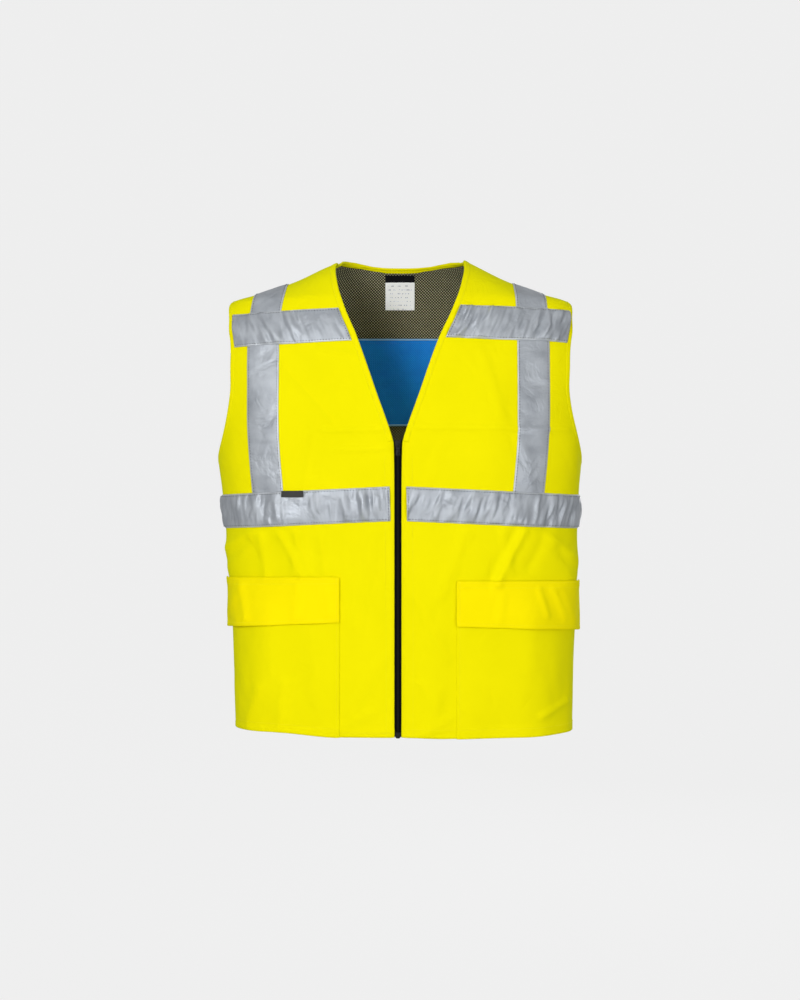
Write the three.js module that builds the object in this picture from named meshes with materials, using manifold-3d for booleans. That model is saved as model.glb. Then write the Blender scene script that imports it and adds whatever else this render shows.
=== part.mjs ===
// A zipped high-visibility cooling vest, standing in the form that it has when it is worn.
// Millimetres. +Z is up, the front faces -Y, and +X is the wearer's left.
// The origin lies on the centre line, at the height of the middle of the shoulders.

import * as THREE from "three";
import { mergeVertices } from "three/addons/utils/BufferGeometryUtils.js";
import Module from "manifold-3d";

const wasm = await Module();
wasm.setup();

// Driving sizes of the body of the vest.
const LENGTH = 713; // neck seam down to the hem
const CHEST_WIDTH = 555; // across the two underarm points
const FRONT_DEPTH = 140; // side seam forward to the zip, at the chest
const BACK_DEPTH = 126; // side seam back to the shoulder blades
const SHOULDER_WIDTH = 520; // across the two shoulder tips
const SHOULDER_DROP = 67; // neck seam down to the shoulder tip
const NECK_WIDTH = 194;
const NECK_RISE = 36; // neck seam above the middle of the shoulders
const V_DEPTH = 280; // neck seam down to the top of the zip
const ARMHOLE_HEIGHT = 238;
const ARMHOLE_REACH = 144; // armhole from front to back
const HEM_SWING = 6.5; // the hem hangs this far to the wearer's left

// Cloth thicknesses, and the clearance that every two pieces keep.
const GAP = 0.3;
const PANEL = 1.5;
const LINING = 1;
const TAPE = 0.8;
const FLAP = 1.8;
const COOLING_PAD = 3;
const LABEL = 0.6;

// Bands, tapes and pockets.
const NECK_BINDING = 9;
const ARM_BINDING = 8;
const BINDING_WRAP = 0.6; // how far a binding stands proud of the panel
const TAPE_WIDTH = 50;
const BRACE_X = (CHEST_WIDTH / 2) * 0.72; // centre of a brace tape from the zip
const BRACE_LEAN = 7; // it stands this much nearer to the zip at the waist and on the shoulder
const CHEST_TAPE_DROP = 80; // neck seam down to the top edge of a chest tape
const WAIST_TAPE_DROP = 346; // neck seam down to the top edge of the waist tape, at the zip
const WAIST_TAPE_SAG = 12; // the waist tape hangs lower at the side seams
const WAIST_TAPE_END = 12.5; // its two ends stop this far from the zip's centre
const POCKET_INNER = 85.5; // inner edge of a pocket from the zip's centre
const POCKET_TOP = 222; // above the hem
const FLAP_TOP = 234; // above the hem
const FLAP_HEIGHT = 66;
const FLAP_SAG = 12; // the outer end of a flap hangs lower
const FLAP_FLARE = 8; // its lower outer corner stands off the pocket
const POCKET_SIDE = 3; // pocket edge in front of the side seam

// The zip.
const ZIP_X = -3;
const ZIP_SLIT = 10;
const ZIP_TAPE_WIDTH = 14;
const ZIP_TAPE = 0.7;
const COIL_WIDTH = 4;
const COIL_RISE = 1.2; // above the outer face of the zip tape
const SLIDER = { width: 8.5, height: 12.5, depth: 4 };
const BRIDGE = { width: 2, height: 7.6, reach: 3.6, bar: 1.1 };
const PULLER = { width: 6.6, length: 18, thickness: 1.2, bar: 1.2 };
const BOX = { width: 8, height: 9, depth: 3.4, below: 1.5 };

// The back's inside: cooling pad, its piping, and the neck label.
const COOLING_WIDTH = 340;
const COOLING_DROP = 108; // neck seam down to the pad
const COOLING_HEIGHT = 140;
const PIPING_HEIGHT = 3;
const PIPING_RISE = 0.8;
const NECK_LABEL = { width: 46, header: 10.5, height: 42 };
const SIDE_TAG = { width: 32, height: 9, from_zip: 137.5 };

// Cross-sections of the body from the hem up. The zone side runs from hem to underarm, arm from
// underarm to shoulder tip, and shoulder from the tip to the neck seam, and up is a share of it.
// Width is a share of the straight line between the zone's named widths, front and back are
// shares of the two depths, square is the exponent of the section's outline, and swing is a
// share of the hem's swing.
const SECTIONS = [
  { zone: "side", up: 0, width: 0.928, front: 0.929, back: 0.937, square: 2.4, swing: 1 },
  { zone: "side", up: 0.27, width: 0.936, front: 0.938, back: 0.914, square: 2.4, swing: 1 },
  { zone: "side", up: 0.53, width: 0.957, front: 0.955, back: 0.89, square: 2.4, swing: 0.85 },
  { zone: "side", up: 0.75, width: 0.974, front: 0.979, back: 0.897, square: 2.4, swing: 0.5 },
  { zone: "side", up: 0.9, width: 0.989, front: 0.993, back: 0.929, square: 2.4, swing: 0.3 },
  { zone: "arm", up: 0, width: 1, front: 1, back: 0.96, square: 2.4, swing: 0.1 },
  { zone: "arm", up: 0.2, width: 1.02, front: 0.986, back: 0.996, square: 2.4, swing: 0.1 },
  { zone: "arm", up: 0.42, width: 1.049, front: 0.943, back: 1, square: 2.4, swing: 0.1 },
  { zone: "arm", up: 0.6, width: 1.08, front: 0.886, back: 0.992, square: 2.4, swing: 0.1 },
  { zone: "arm", up: 0.78, width: 1.082, front: 0.807, back: 0.96, square: 2.38, swing: 0.1 },
  { zone: "arm", up: 0.9, width: 1.049, front: 0.746, back: 0.929, square: 2.33, swing: 0.1 },
  { zone: "shoulder", up: 0, width: 1, front: 0.679, back: 0.889, square: 2.25, swing: 0.1 },
  { zone: "shoulder", up: 0.25, width: 1, front: 0.613, back: 0.852, square: 2.2, swing: 0.1 },
  { zone: "shoulder", up: 0.5, width: 1, front: 0.547, back: 0.808, square: 2.15, swing: 0.1 },
  { zone: "shoulder", up: 0.75, width: 1, front: 0.472, back: 0.75, square: 2.1, swing: 0.1 },
  { zone: "shoulder", up: 1, width: 1, front: 0.393, back: 0.675, square: 2, swing: 0.1 },
];
const STATIONS = 36; // points round a section

// Edge of the V neck: down is a share of the V's depth, out of half the neck's width.
const V_EDGE = [
  { down: 0, out: 1 },
  { down: 0.05, out: 1.01 },
  { down: 0.15, out: 0.965 },
  { down: 0.3, out: 0.82 },
  { down: 0.44, out: 0.64 },
  { down: 0.76, out: 0.31 },
  { down: 0.96, out: 0.1 },
  { down: 1, out: 0.06 },
];

// Soft folds of the body: from and to are points of the fold's crest, x as a share of half the
// chest's width and up as a share of the length. Depth is in shares of the front's depth, below
// zero for a dent, and breadth is a share of half the chest's width.
const FOLDS = [
  { face: "front", from: { x: -0.93, up: 0.36 }, to: { x: -0.6, up: 0.45 }, depth: 0.026, breadth: 0.1 },
  { face: "front", from: { x: 0.92, up: 0.35 }, to: { x: 0.62, up: 0.44 }, depth: 0.026, breadth: 0.1 },
  { face: "front", from: { x: -0.5, up: 0.56 }, to: { x: -0.56, up: 0.78 }, depth: -0.014, breadth: 0.09 },
  { face: "front", from: { x: 0.45, up: 0.52 }, to: { x: 0.5, up: 0.7 }, depth: 0.014, breadth: 0.12 },
  { face: "front", from: { x: -0.75, up: -0.02 }, to: { x: -0.7, up: 0.22 }, depth: 0.03, breadth: 0.12 },
  { face: "front", from: { x: 0.72, up: -0.02 }, to: { x: 0.68, up: 0.24 }, depth: 0.026, breadth: 0.12 },
  { face: "front", from: { x: 0.16, up: -0.02 }, to: { x: 0.14, up: 0.3 }, depth: 0.02, breadth: 0.13 },
  { face: "back", from: { x: -0.5, up: -0.02 }, to: { x: -0.42, up: 0.42 }, depth: 0.04, breadth: 0.14 },
  { face: "back", from: { x: 0.46, up: -0.02 }, to: { x: 0.4, up: 0.46 }, depth: 0.036, breadth: 0.14 },
  { face: "back", from: { x: 0, up: -0.02 }, to: { x: 0.02, up: 0.6 }, depth: -0.03, breadth: 0.14 },
  { face: "back", from: { x: -0.66, up: 0.52 }, to: { x: -0.3, up: 0.62 }, depth: 0.02, breadth: 0.1 },
];

// Colours, each with the roughness of its finish.
const FINISHES = {
  yellow: { color: 0xf2ee00, roughness: 0.75, metalness: 0 },
  reflective: { color: 0xa2a8b0, roughness: 0.4, metalness: 0.25 },
  mesh_black: { color: 0x26251c, roughness: 0.9, metalness: 0 },
  cooling_blue: { color: 0x2a6cae, roughness: 0.6, metalness: 0 },
  piping_blue: { color: 0x5b93cc, roughness: 0.6, metalness: 0 },
  zip_black: { color: 0x17171a, roughness: 0.55, metalness: 0 },
  zip_metal: { color: 0x1d1d20, roughness: 0.3, metalness: 0.6 },
  label_white: { color: 0xe6e7ec, roughness: 0.7, metalness: 0 },
  label_black: { color: 0x1b1b1e, roughness: 0.7, metalness: 0 },
  tag_grey: { color: 0x4a4b42, roughness: 0.8, metalness: 0 },
};

// Heights that the sizes give.
const NECK_Z = NECK_RISE;
const HEM_Z = NECK_RISE - LENGTH;
const TIP_Z = NECK_RISE - SHOULDER_DROP;
const UNDERARM_Z = TIP_Z - ARMHOLE_HEIGHT;
const V_Z = NECK_RISE - V_DEPTH;
const HALF_CHEST = CHEST_WIDTH / 2;
const BEYOND = LENGTH; // any length that reaches past the vest

// Layers of cloth, as distances out of the inner face of the panels.
const BRACE_IN = PANEL + GAP;
const BRACE_OUT = BRACE_IN + TAPE;
const BAND_IN = BRACE_OUT + GAP;
const BAND_OUT = BAND_IN + TAPE;
const FLAP_IN = BRACE_IN + PANEL + GAP;
const LINING_OUT = -GAP;
const LINING_IN = LINING_OUT - LINING;
const PAD_OUT = LINING_IN - GAP;
const ZIP_TAPE_OUT = -GAP;
const ZIP_TAPE_IN = ZIP_TAPE_OUT - ZIP_TAPE;
const COIL_IN = ZIP_TAPE_OUT + GAP;
const COIL_OUT = COIL_IN + COIL_RISE;

const mix = THREE.MathUtils.lerp;

// The zones that a section lies in: its lowest and highest level, and the straight width there.
const ZONES = {
  side: { from: HEM_Z, to: UNDERARM_Z, narrow: HALF_CHEST, wide: HALF_CHEST },
  arm: { from: UNDERARM_Z, to: TIP_Z, narrow: HALF_CHEST, wide: SHOULDER_WIDTH / 2 },
  shoulder: { from: TIP_Z, to: NECK_Z, narrow: SHOULDER_WIDTH / 2, wide: NECK_WIDTH / 2 },
};

// One measured section: its level, half width, depths, squareness and sideways swing.
const LEVELS = SECTIONS.map((row) => {
  const zone = ZONES[row.zone];
  return {
    z: mix(zone.from, zone.to, row.up),
    width: mix(zone.narrow, zone.wide, row.up) * row.width,
    front: FRONT_DEPTH * row.front,
    back: BACK_DEPTH * row.back,
    square: row.square,
    swing: HEM_SWING * row.swing,
  };
});

// The section at any height, between its two neighbours in the table.
function sectionAt(z) {
  let top = 1;
  while (top < LEVELS.length - 1 && LEVELS[top].z < z) top += 1;
  const low = LEVELS[top - 1];
  const high = LEVELS[top];
  const share = (z - low.z) / (high.z - low.z);
  const section = {};
  for (const key of Object.keys(low)) section[key] = mix(low[key], high[key], share);
  return section;
}

// Zero on the body's inner face, below zero inside it.
function outside(x, y, z) {
  const s = sectionAt(z);
  const wide = Math.abs(x - s.swing) / s.width;
  const deep = Math.abs(y) / (y < 0 ? s.front : s.back);
  return wide ** s.square + deep ** s.square - 1;
}

const STEP = 0.5; // step of the numeric slopes

function slopeAt(p) {
  return new THREE.Vector3(
    outside(p.x + STEP, p.y, p.z) - outside(p.x - STEP, p.y, p.z),
    outside(p.x, p.y + STEP, p.z) - outside(p.x, p.y - STEP, p.z),
    outside(p.x, p.y, p.z + STEP) - outside(p.x, p.y, p.z - STEP),
  ).divideScalar(2 * STEP);
}

const normalAt = (p) => slopeAt(p).normalize();

// Moves a point that is near the body's inner face onto it.
function settle(point) {
  const p = point.clone();
  for (let turn = 0; turn < 4; turn += 1) {
    const slope = slopeAt(p);
    p.addScaledVector(slope, -outside(p.x, p.y, p.z) / slope.lengthSq());
  }
  return p;
}

// How far the folds lift the cloth at a point.
function foldsAt(p) {
  let lift = 0;
  for (const fold of FOLDS) {
    if ((p.y < 0) !== (fold.face === "front")) continue;
    const ends = [fold.from, fold.to].map(
      (end) => new THREE.Vector2(end.x * HALF_CHEST, HEM_Z + end.up * LENGTH),
    );
    const run = ends[1].clone().sub(ends[0]);
    const offset = new THREE.Vector2(p.x, p.z).sub(ends[0]);
    const along = THREE.MathUtils.clamp(offset.dot(run) / run.lengthSq(), 0, 1);
    const away = offset.sub(run.multiplyScalar(along)).length() / (fold.breadth * HALF_CHEST);
    lift += fold.depth * FRONT_DEPTH * Math.exp(-away * away);
  }
  const seam = Math.min(1, Math.abs(p.y) / (0.3 * FRONT_DEPTH)); // seams and ridges stay as they are
  return lift * seam;
}

// A point of the body's inner face, moved out through the layers.
function layer(p, offset) {
  return p.clone().addScaledVector(normalAt(p), offset + foldsAt(p));
}

function pointAt(section, angle) {
  const power = 2 / section.square;
  const cos = Math.cos(angle);
  const sin = Math.sin(angle);
  const x = section.width * Math.sign(cos) * Math.abs(cos) ** power;
  const depth = sin < 0 ? section.front : section.back;
  return new THREE.Vector3(section.swing + x, depth * Math.sign(sin) * Math.abs(sin) ** power, section.z);
}

// A point of the front or back face, given where it is seen from the front.
function faceAt(x, z, face) {
  const s = sectionAt(z);
  const wide = Math.min(1, Math.abs(x - s.swing) / s.width);
  const share = (1 - wide ** s.square) ** (1 / s.square);
  return new THREE.Vector3(x, face === "front" ? -s.front * share : s.back * share, z);
}

function solidOf(geometry) {
  geometry.deleteAttribute("normal");
  geometry.deleteAttribute("uv");
  const merged = mergeVertices(geometry);
  const mesh = new wasm.Mesh({
    numProp: 3,
    vertProperties: merged.attributes.position.array,
    triVerts: new Uint32Array(merged.index.array),
  });
  return new wasm.Manifold(mesh);
}

// A solid between the two skins of a grid of { inner, outer } points. Its columns run with the
// thumb of the right hand on its rows and the palm on the outside. Round grids close on themselves.
function slab(grid, round) {
  const rows = grid.length;
  const columns = grid[0].length;
  const points = [];
  const faces = [];
  for (const row of grid) for (const { inner, outer } of row) points.push(...inner, ...outer);
  const INNER = 0;
  const OUTER = 1;
  const at = (row, column, side) => 2 * (row * columns + (column % columns)) + side;
  const quad = (a, b, c, d) => faces.push(a, b, c, a, c, d);
  const last = round ? columns : columns - 1;
  for (let c = 0; c < last; c += 1) {
    for (let r = 0; r < rows - 1; r += 1) {
      quad(at(r, c, OUTER), at(r, c + 1, OUTER), at(r + 1, c + 1, OUTER), at(r + 1, c, OUTER));
      quad(at(r, c, INNER), at(r + 1, c, INNER), at(r + 1, c + 1, INNER), at(r, c + 1, INNER));
    }
    const top = rows - 1;
    quad(at(0, c, INNER), at(0, c + 1, INNER), at(0, c + 1, OUTER), at(0, c, OUTER));
    quad(at(top, c, OUTER), at(top, c + 1, OUTER), at(top, c + 1, INNER), at(top, c, INNER));
  }
  for (let r = 0; r < rows - 1 && !round; r += 1) {
    quad(at(r, 0, OUTER), at(r + 1, 0, OUTER), at(r + 1, 0, INNER), at(r, 0, INNER));
    quad(at(r, last, INNER), at(r + 1, last, INNER), at(r + 1, last, OUTER), at(r, last, OUTER));
  }
  const geometry = new THREE.BufferGeometry();
  geometry.setAttribute("position", new THREE.Float32BufferAttribute(points, 3));
  geometry.setIndex(faces);
  return solidOf(geometry);
}

// The whole body as one layer of cloth, from one offset to another.
function shell(from, to, lift = () => 0) {
  const grid = LEVELS.map((section) =>
    Array.from({ length: STATIONS }, (_, k) => {
      const p = pointAt(section, (2 * Math.PI * k) / STATIONS);
      const extra = lift(p);
      return { inner: layer(p, from + extra), outer: layer(p, to + extra) };
    }),
  );
  return slab(grid, true);
}

const CUT_DEPTH = 12; // an edge strip reaches this far through the layers, each way

// A strip that follows an edge of the body, from one distance off the edge to another.
function edgeStrip(path, round, near, far) {
  const count = path.length;
  const row = (reach) =>
    path.map((p, k) => {
      const before = path[round ? (k + count - 1) % count : Math.max(0, k - 1)];
      const after = path[round ? (k + 1) % count : Math.min(count - 1, k + 1)];
      const along = after.clone().sub(before);
      const across = normalAt(p).cross(along).normalize();
      const q = settle(p.clone().addScaledVector(across, reach));
      return { inner: layer(q, -CUT_DEPTH), outer: layer(q, CUT_DEPTH) };
    });
  return slab([row(near), row(far)], round);
}

const X_AXIS = new THREE.Vector3(1, 0, 0);
const Y_AXIS = new THREE.Vector3(0, 1, 0);
const Z_AXIS = new THREE.Vector3(0, 0, 1);

// An outline, as points [u, v], drawn out along an axis between two places on that axis.
function prism(outline, axis, from, to) {
  const shape = new THREE.Shape(outline.map(([u, v]) => new THREE.Vector2(u, v)));
  const geometry = new THREE.ExtrudeGeometry(shape, { depth: to - from, bevelEnabled: false });
  geometry.translate(0, 0, from);
  const turn = new THREE.Matrix4();
  if (axis === "x") turn.makeBasis(Y_AXIS, Z_AXIS, X_AXIS);
  // Along Y the drawing is seen from the front, and from and to count towards the viewer.
  if (axis === "y") turn.makeBasis(X_AXIS, Z_AXIS, Y_AXIS.clone().negate());
  return solidOf(geometry.applyMatrix4(turn));
}

const rectangle = (left, bottom, right, top) => [
  [left, bottom],
  [right, bottom],
  [right, top],
  [left, top],
];

const frontOnly = (outline) => prism(outline, "y", 0, BEYOND);
const backOnly = (outline) => prism(outline, "y", -BEYOND, 0);

// The neckline.

const V_CURVE = new THREE.CatmullRomCurve3(
  V_EDGE.map(({ down, out }) => new THREE.Vector3((out * NECK_WIDTH) / 2, 0, NECK_Z - down * V_DEPTH)),
  false,
  "centripetal",
);

// The V's edge on one side, seen from the front. It turns about the zip's line lower down.
function vEdge(side, count) {
  return V_CURVE.getPoints(count).map((p) => {
    const down = (NECK_Z - p.z) / V_DEPTH;
    return { x: side * p.x + ZIP_X * Math.min(1, 2 * down), z: p.z };
  });
}

const NECK_POINTS = 36; // steps along the neckline
const BACK_NECK_POINTS = 16;

function neckline(overrun) {
  const drawn = (side) => vEdge(side, 48).map(({ x, z }) => faceAt(x, z, "front"));
  const neck = LEVELS[LEVELS.length - 1];
  const back = [];
  for (let k = 1; k < BACK_NECK_POINTS; k += 1) {
    back.push(pointAt(neck, Math.PI * (1 - k / BACK_NECK_POINTS)));
  }
  const points = [...drawn(-1).reverse(), ...back, ...drawn(1)];
  const path = new THREE.CatmullRomCurve3(points, false, "centripetal").getSpacedPoints(NECK_POINTS);
  const tail = (end, next) => end.addScaledVector(end.clone().sub(next).normalize(), overrun);
  tail(path[0], path[1]);
  tail(path[path.length - 1], path[path.length - 2]);
  return path.map(settle);
}

// The armhole: an oval seen from the side, laid on the body.
const ARMHOLE_POINTS = 24;

function armhole(side) {
  const middle = (TIP_Z + UNDERARM_Z) / 2;
  const points = [];
  for (let k = 0; k < ARMHOLE_POINTS; k += 1) {
    const angle = (-side * 2 * Math.PI * k) / ARMHOLE_POINTS;
    const y = (ARMHOLE_REACH / 2) * Math.cos(angle);
    const z = middle + (ARMHOLE_HEIGHT / 2) * Math.sin(angle);
    const s = sectionAt(z);
    const deep = Math.abs(y) / (y < 0 ? s.front : s.back);
    const x = s.swing + side * s.width * (1 - deep ** s.square) ** (1 / s.square);
    points.push(new THREE.Vector3(x, y, z));
  }
  return points;
}

// What is cut away for the neck: the bound edge, and the V between its two sides.
const neckCut = (() => {
  const inset = 2;
  const edge = edgeStrip(neckline(GAP), false, -2 * inset, NECK_BINDING + GAP);
  const side = (sign) => vEdge(sign, 24).map(({ x, z }) => [x - sign * inset, z]);
  const rise = [NECK_WIDTH / 2 - inset, NECK_Z + NECK_RISE];
  const outline = [[-rise[0], rise[1]], ...side(-1), ...side(1).reverse(), rise];
  return edge.add(frontOnly(outline));
})();

function armholeCut(side) {
  const inset = 6;
  const edge = edgeStrip(armhole(side), true, -3.5 * inset, ARM_BINDING + GAP);
  const middle = (TIP_Z + UNDERARM_Z) / 2;
  const oval = [];
  for (let k = 0; k < ARMHOLE_POINTS; k += 1) {
    const angle = (2 * Math.PI * k) / ARMHOLE_POINTS;
    oval.push([
      (ARMHOLE_REACH / 2 - inset) * Math.cos(angle),
      middle + (ARMHOLE_HEIGHT / 2 - inset) * Math.sin(angle),
    ]);
  }
  const from = side < 0 ? -BEYOND : HALF_CHEST / 2;
  return edge.add(prism(oval, "x", from, from + BEYOND - HALF_CHEST / 2));
}

const edgeCuts = neckCut.add(armholeCut(-1)).add(armholeCut(1));

// The panels, the lining and the bindings.

const slitEdge = (side) => ZIP_X + (side * ZIP_SLIT) / 2;

function frontPanel(side) {
  const outline = rectangle(
    Math.min(slitEdge(side), side * BEYOND),
    HEM_Z - BEYOND,
    Math.max(slitEdge(side), side * BEYOND),
    NECK_Z + BEYOND,
  );
  const half = prism(outline, "y", GAP / 2, BEYOND);
  return panelShell.intersect(half).subtract(edgeCuts);
}

const WHOLE = rectangle(-BEYOND, HEM_Z - BEYOND, BEYOND, NECK_Z + BEYOND);
const panelShell = shell(0, PANEL);
const backPanel = panelShell.intersect(prism(WHOLE, "y", -BEYOND, -GAP / 2)).subtract(edgeCuts);

const LINING_SEAM = 2; // the lining stops this far behind the side seam
const lining = shell(LINING_IN, LINING_OUT)
  .intersect(prism(WHOLE, "y", -BEYOND, -LINING_SEAM))
  .subtract(edgeCuts);

const bindingShell = shell(LINING_IN, PANEL + BINDING_WRAP);
const neckBinding = bindingShell.intersect(edgeStrip(neckline(0), false, 0, NECK_BINDING));
const armBinding = (side) => bindingShell.intersect(edgeStrip(armhole(side), true, 0, ARM_BINDING));

// The cooling pad and its piping, on the inside of the lining.

const PAD_TOP = NECK_Z - COOLING_DROP;
const PAD_LOW = PAD_TOP - COOLING_HEIGHT;

function padBand(low, high, thickness) {
  const outline = rectangle(-COOLING_WIDTH / 2, low, COOLING_WIDTH / 2, high);
  return shell(PAD_OUT - thickness, PAD_OUT).intersect(backOnly(outline));
}

const coolingPad = padBand(PAD_LOW + PIPING_HEIGHT + GAP, PAD_TOP - PIPING_HEIGHT - GAP, COOLING_PAD);
const PIPING = COOLING_PAD + PIPING_RISE;
const pipingTop = padBand(PAD_TOP - PIPING_HEIGHT, PAD_TOP, PIPING);
const pipingLow = padBand(PAD_LOW, PAD_LOW + PIPING_HEIGHT, PIPING);

// The neck label: a black header over a white tab, both on the lining below the neck binding.

const LABEL_TOP = NECK_Z - NECK_BINDING - 1;
const HEADER_LOW = LABEL_TOP - NECK_LABEL.header;

function labelPiece(low, high) {
  const outline = rectangle(-NECK_LABEL.width / 2, low, NECK_LABEL.width / 2, high);
  return shell(PAD_OUT - LABEL, PAD_OUT).intersect(backOnly(outline));
}

// Tapes.

const braceShell = shell(BRACE_IN, BRACE_OUT);
const bandShell = shell(BAND_IN, BAND_OUT);
const WAIST_TOP = NECK_Z - WAIST_TAPE_DROP;
const WAIST_LOW = WAIST_TOP - WAIST_TAPE_SAG - TAPE_WIDTH;
const SEEN_WIDTH = 0.94 * TAPE_WIDTH; // a brace lies aslant, so it looks narrower from the front

// A brace's centre line: up is a share of the way from the waist tape to the neck seam.
const BRACE_LINE = [
  { up: 0, lean: 1 },
  { up: 0.3, lean: 0.2 },
  { up: 0.7, lean: 0 },
  { up: 0.88, lean: 0.3 },
  { up: 1.05, lean: 1.2 },
];

function brace(side) {
  const edge = (offset) =>
    BRACE_LINE.map(({ up, lean }) => [
      ZIP_X + side * (BRACE_X - BRACE_LEAN * lean) + offset,
      mix(WAIST_LOW + WAIST_TAPE_SAG / 2, NECK_Z, up),
    ]);
  const outline = [...edge(-SEEN_WIDTH / 2), ...edge(SEEN_WIDTH / 2).reverse()];
  return braceShell.intersect(prism(outline, "y", -BEYOND, BEYOND));
}

// The two chest tapes: each end's height, as a share of the tape's width below their drop.
const CHEST_TAPES = {
  right: { side: -1, inner: 0.04, outer: 0.18 },
  left: { side: 1, inner: -0.06, outer: 0.04 },
};

function chestTape({ side, inner, outer }) {
  const top = NECK_Z - CHEST_TAPE_DROP;
  const vShare = 0.3;
  const innerX = ZIP_X;
  const slope = (outer - inner) / (1 - vShare);
  const at = (share) => top - (inner + slope * (share - vShare)) * TAPE_WIDTH;
  const outline = [
    [innerX, at(0)],
    [side * HALF_CHEST, at(1)],
    [side * HALF_CHEST, at(1) - TAPE_WIDTH],
    [innerX, at(0) - TAPE_WIDTH],
  ];
  return bandShell.intersect(frontOnly(outline)).subtract(edgeCuts);
}

const waistTape = (() => {
  const front = (side) => {
    const start = ZIP_X + side * WAIST_TAPE_END;
    const end = side * HALF_CHEST;
    return frontOnly([
      [start, WAIST_TOP],
      [end, WAIST_TOP - WAIST_TAPE_SAG],
      [end * 1.1, WAIST_TOP - WAIST_TAPE_SAG],
      [end * 1.1, WAIST_LOW],
      [end, WAIST_LOW],
      [start, WAIST_LOW + WAIST_TAPE_SAG],
    ]);
  };
  const behind = rectangle(-BEYOND, WAIST_LOW, BEYOND, WAIST_LOW + TAPE_WIDTH);
  const back = prism(behind, "y", -BEYOND, GAP); // reaches into the front, so that both are one tape
  return bandShell.intersect(front(-1).add(front(1)).add(back));
})();

const sideTag = (() => {
  const left = ZIP_X - SIDE_TAG.from_zip - SIDE_TAG.width;
  const top = WAIST_TOP - WAIST_TAPE_SAG * 0.55;
  const outline = rectangle(left, top - SIDE_TAG.height, left + SIDE_TAG.width, top);
  return shell(BAND_OUT + GAP, BAND_OUT + GAP + LABEL).intersect(frontOnly(outline));
})();

// Pockets and their flaps.

function pocket(side) {
  const inner = ZIP_X + side * POCKET_INNER;
  const outline = rectangle(
    Math.min(inner, side * BEYOND),
    HEM_Z - PANEL,
    Math.max(inner, side * BEYOND),
    HEM_Z + POCKET_TOP,
  );
  const seat = prism(outline, "y", POCKET_SIDE, BEYOND);
  return shell(BRACE_IN, BRACE_IN + PANEL).intersect(seat);
}

// A flap hangs free below its seam, and stands off most at its lower outer corner.
function flapLift(p) {
  const down = THREE.MathUtils.clamp((HEM_Z + FLAP_TOP - p.z) / FLAP_HEIGHT, 0, 1);
  const out = THREE.MathUtils.clamp((Math.abs(p.x) / HALF_CHEST - 0.5) / 0.4, 0, 1);
  return FLAP_FLARE * down * mix(0.2, 1, out * out);
}

const flapShell = shell(FLAP_IN, FLAP_IN + FLAP, flapLift);

function flap(side) {
  const inner = ZIP_X + side * POCKET_INNER;
  const top = HEM_Z + FLAP_TOP;
  const end = side * HALF_CHEST;
  const low = top - FLAP_HEIGHT;
  const outline = [
    [inner, top],
    [end * 1.1, top - FLAP_SAG / 3],
    [end * 1.1, low - FLAP_SAG],
    [inner, low],
  ];
  return flapShell.intersect(prism(outline, "y", POCKET_SIDE, BEYOND));
}

// The zip: two tapes behind the panels, the closed coil, the slider with its puller, and the box.

const SLIDER_TOP = V_Z + 1;
const SLIDER_LOW = SLIDER_TOP - SLIDER.height;
const BOX_LOW = HEM_Z - BOX.below;
const BOX_TOP = BOX_LOW + BOX.height;

function zipTape(side) {
  const edge = ZIP_X + (side * GAP) / 2;
  const far = ZIP_X + side * ZIP_TAPE_WIDTH;
  const outline = rectangle(Math.min(edge, far), HEM_Z + GAP, Math.max(edge, far), SLIDER_TOP);
  return shell(ZIP_TAPE_IN, ZIP_TAPE_OUT).intersect(frontOnly(outline)).subtract(neckCut);
}

const zipCoil = shell(COIL_IN, COIL_OUT).intersect(
  frontOnly(rectangle(ZIP_X - COIL_WIDTH / 2, BOX_TOP + GAP, ZIP_X + COIL_WIDTH / 2, SLIDER_LOW - GAP)),
);

// How far in front of the origin the outer face of the zip tape stands at a height.
const zipFace = (z) => -layer(faceAt(ZIP_X, z, "front"), ZIP_TAPE_OUT).y;

const SLIDER_BACK = Math.max(zipFace(SLIDER_TOP), zipFace(SLIDER_LOW)) + GAP;
const SLIDER_FRONT = SLIDER_BACK + SLIDER.depth;
const BRIDGE_MID = SLIDER_TOP - 0.45 * SLIDER.height;

// The slider's shield, with a bridge over the bar of its puller.
const zipSlider = (() => {
  const half = SLIDER.width / 2;
  const shield = [
    [-half, SLIDER_TOP],
    [half, SLIDER_TOP],
    [half, SLIDER_TOP - 0.45 * SLIDER.height],
    [0.72 * half, SLIDER_LOW],
    [-0.72 * half, SLIDER_LOW],
    [-half, SLIDER_TOP - 0.45 * SLIDER.height],
  ].map(([x, z]) => [ZIP_X + x, z]);
  const reach = BRIDGE.height / 2;
  const chamfer = BRIDGE.bar;
  const root = -SLIDER_FRONT + 0.5; // the bridge starts inside the shield
  const crown = -SLIDER_FRONT - BRIDGE.reach;
  const arch = [
    [root, BRIDGE_MID - reach],
    [root, BRIDGE_MID + reach],
    [crown + chamfer, BRIDGE_MID + reach],
    [crown, BRIDGE_MID + reach - chamfer],
    [crown, BRIDGE_MID - reach + chamfer],
    [crown + chamfer, BRIDGE_MID - reach],
  ];
  const hole = rectangle(
    crown + BRIDGE.bar,
    BRIDGE_MID - reach + BRIDGE.bar,
    -SLIDER_FRONT,
    BRIDGE_MID + reach - BRIDGE.bar,
  );
  const from = ZIP_X - BRIDGE.width / 2;
  const to = ZIP_X + BRIDGE.width / 2;
  return prism(shield, "y", SLIDER_BACK, SLIDER_FRONT)
    .add(prism(arch, "x", from, to))
    .subtract(prism(hole, "x", from - GAP, to + GAP));
})();

// The puller turns on its bar, which lies under the bridge.
const PIVOT_Y = -SLIDER_FRONT - (BRIDGE.reach - BRIDGE.bar) / 2;
const EYE = BRIDGE.height / 2 + 2.5 * GAP; // window of the puller below its bar

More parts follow.
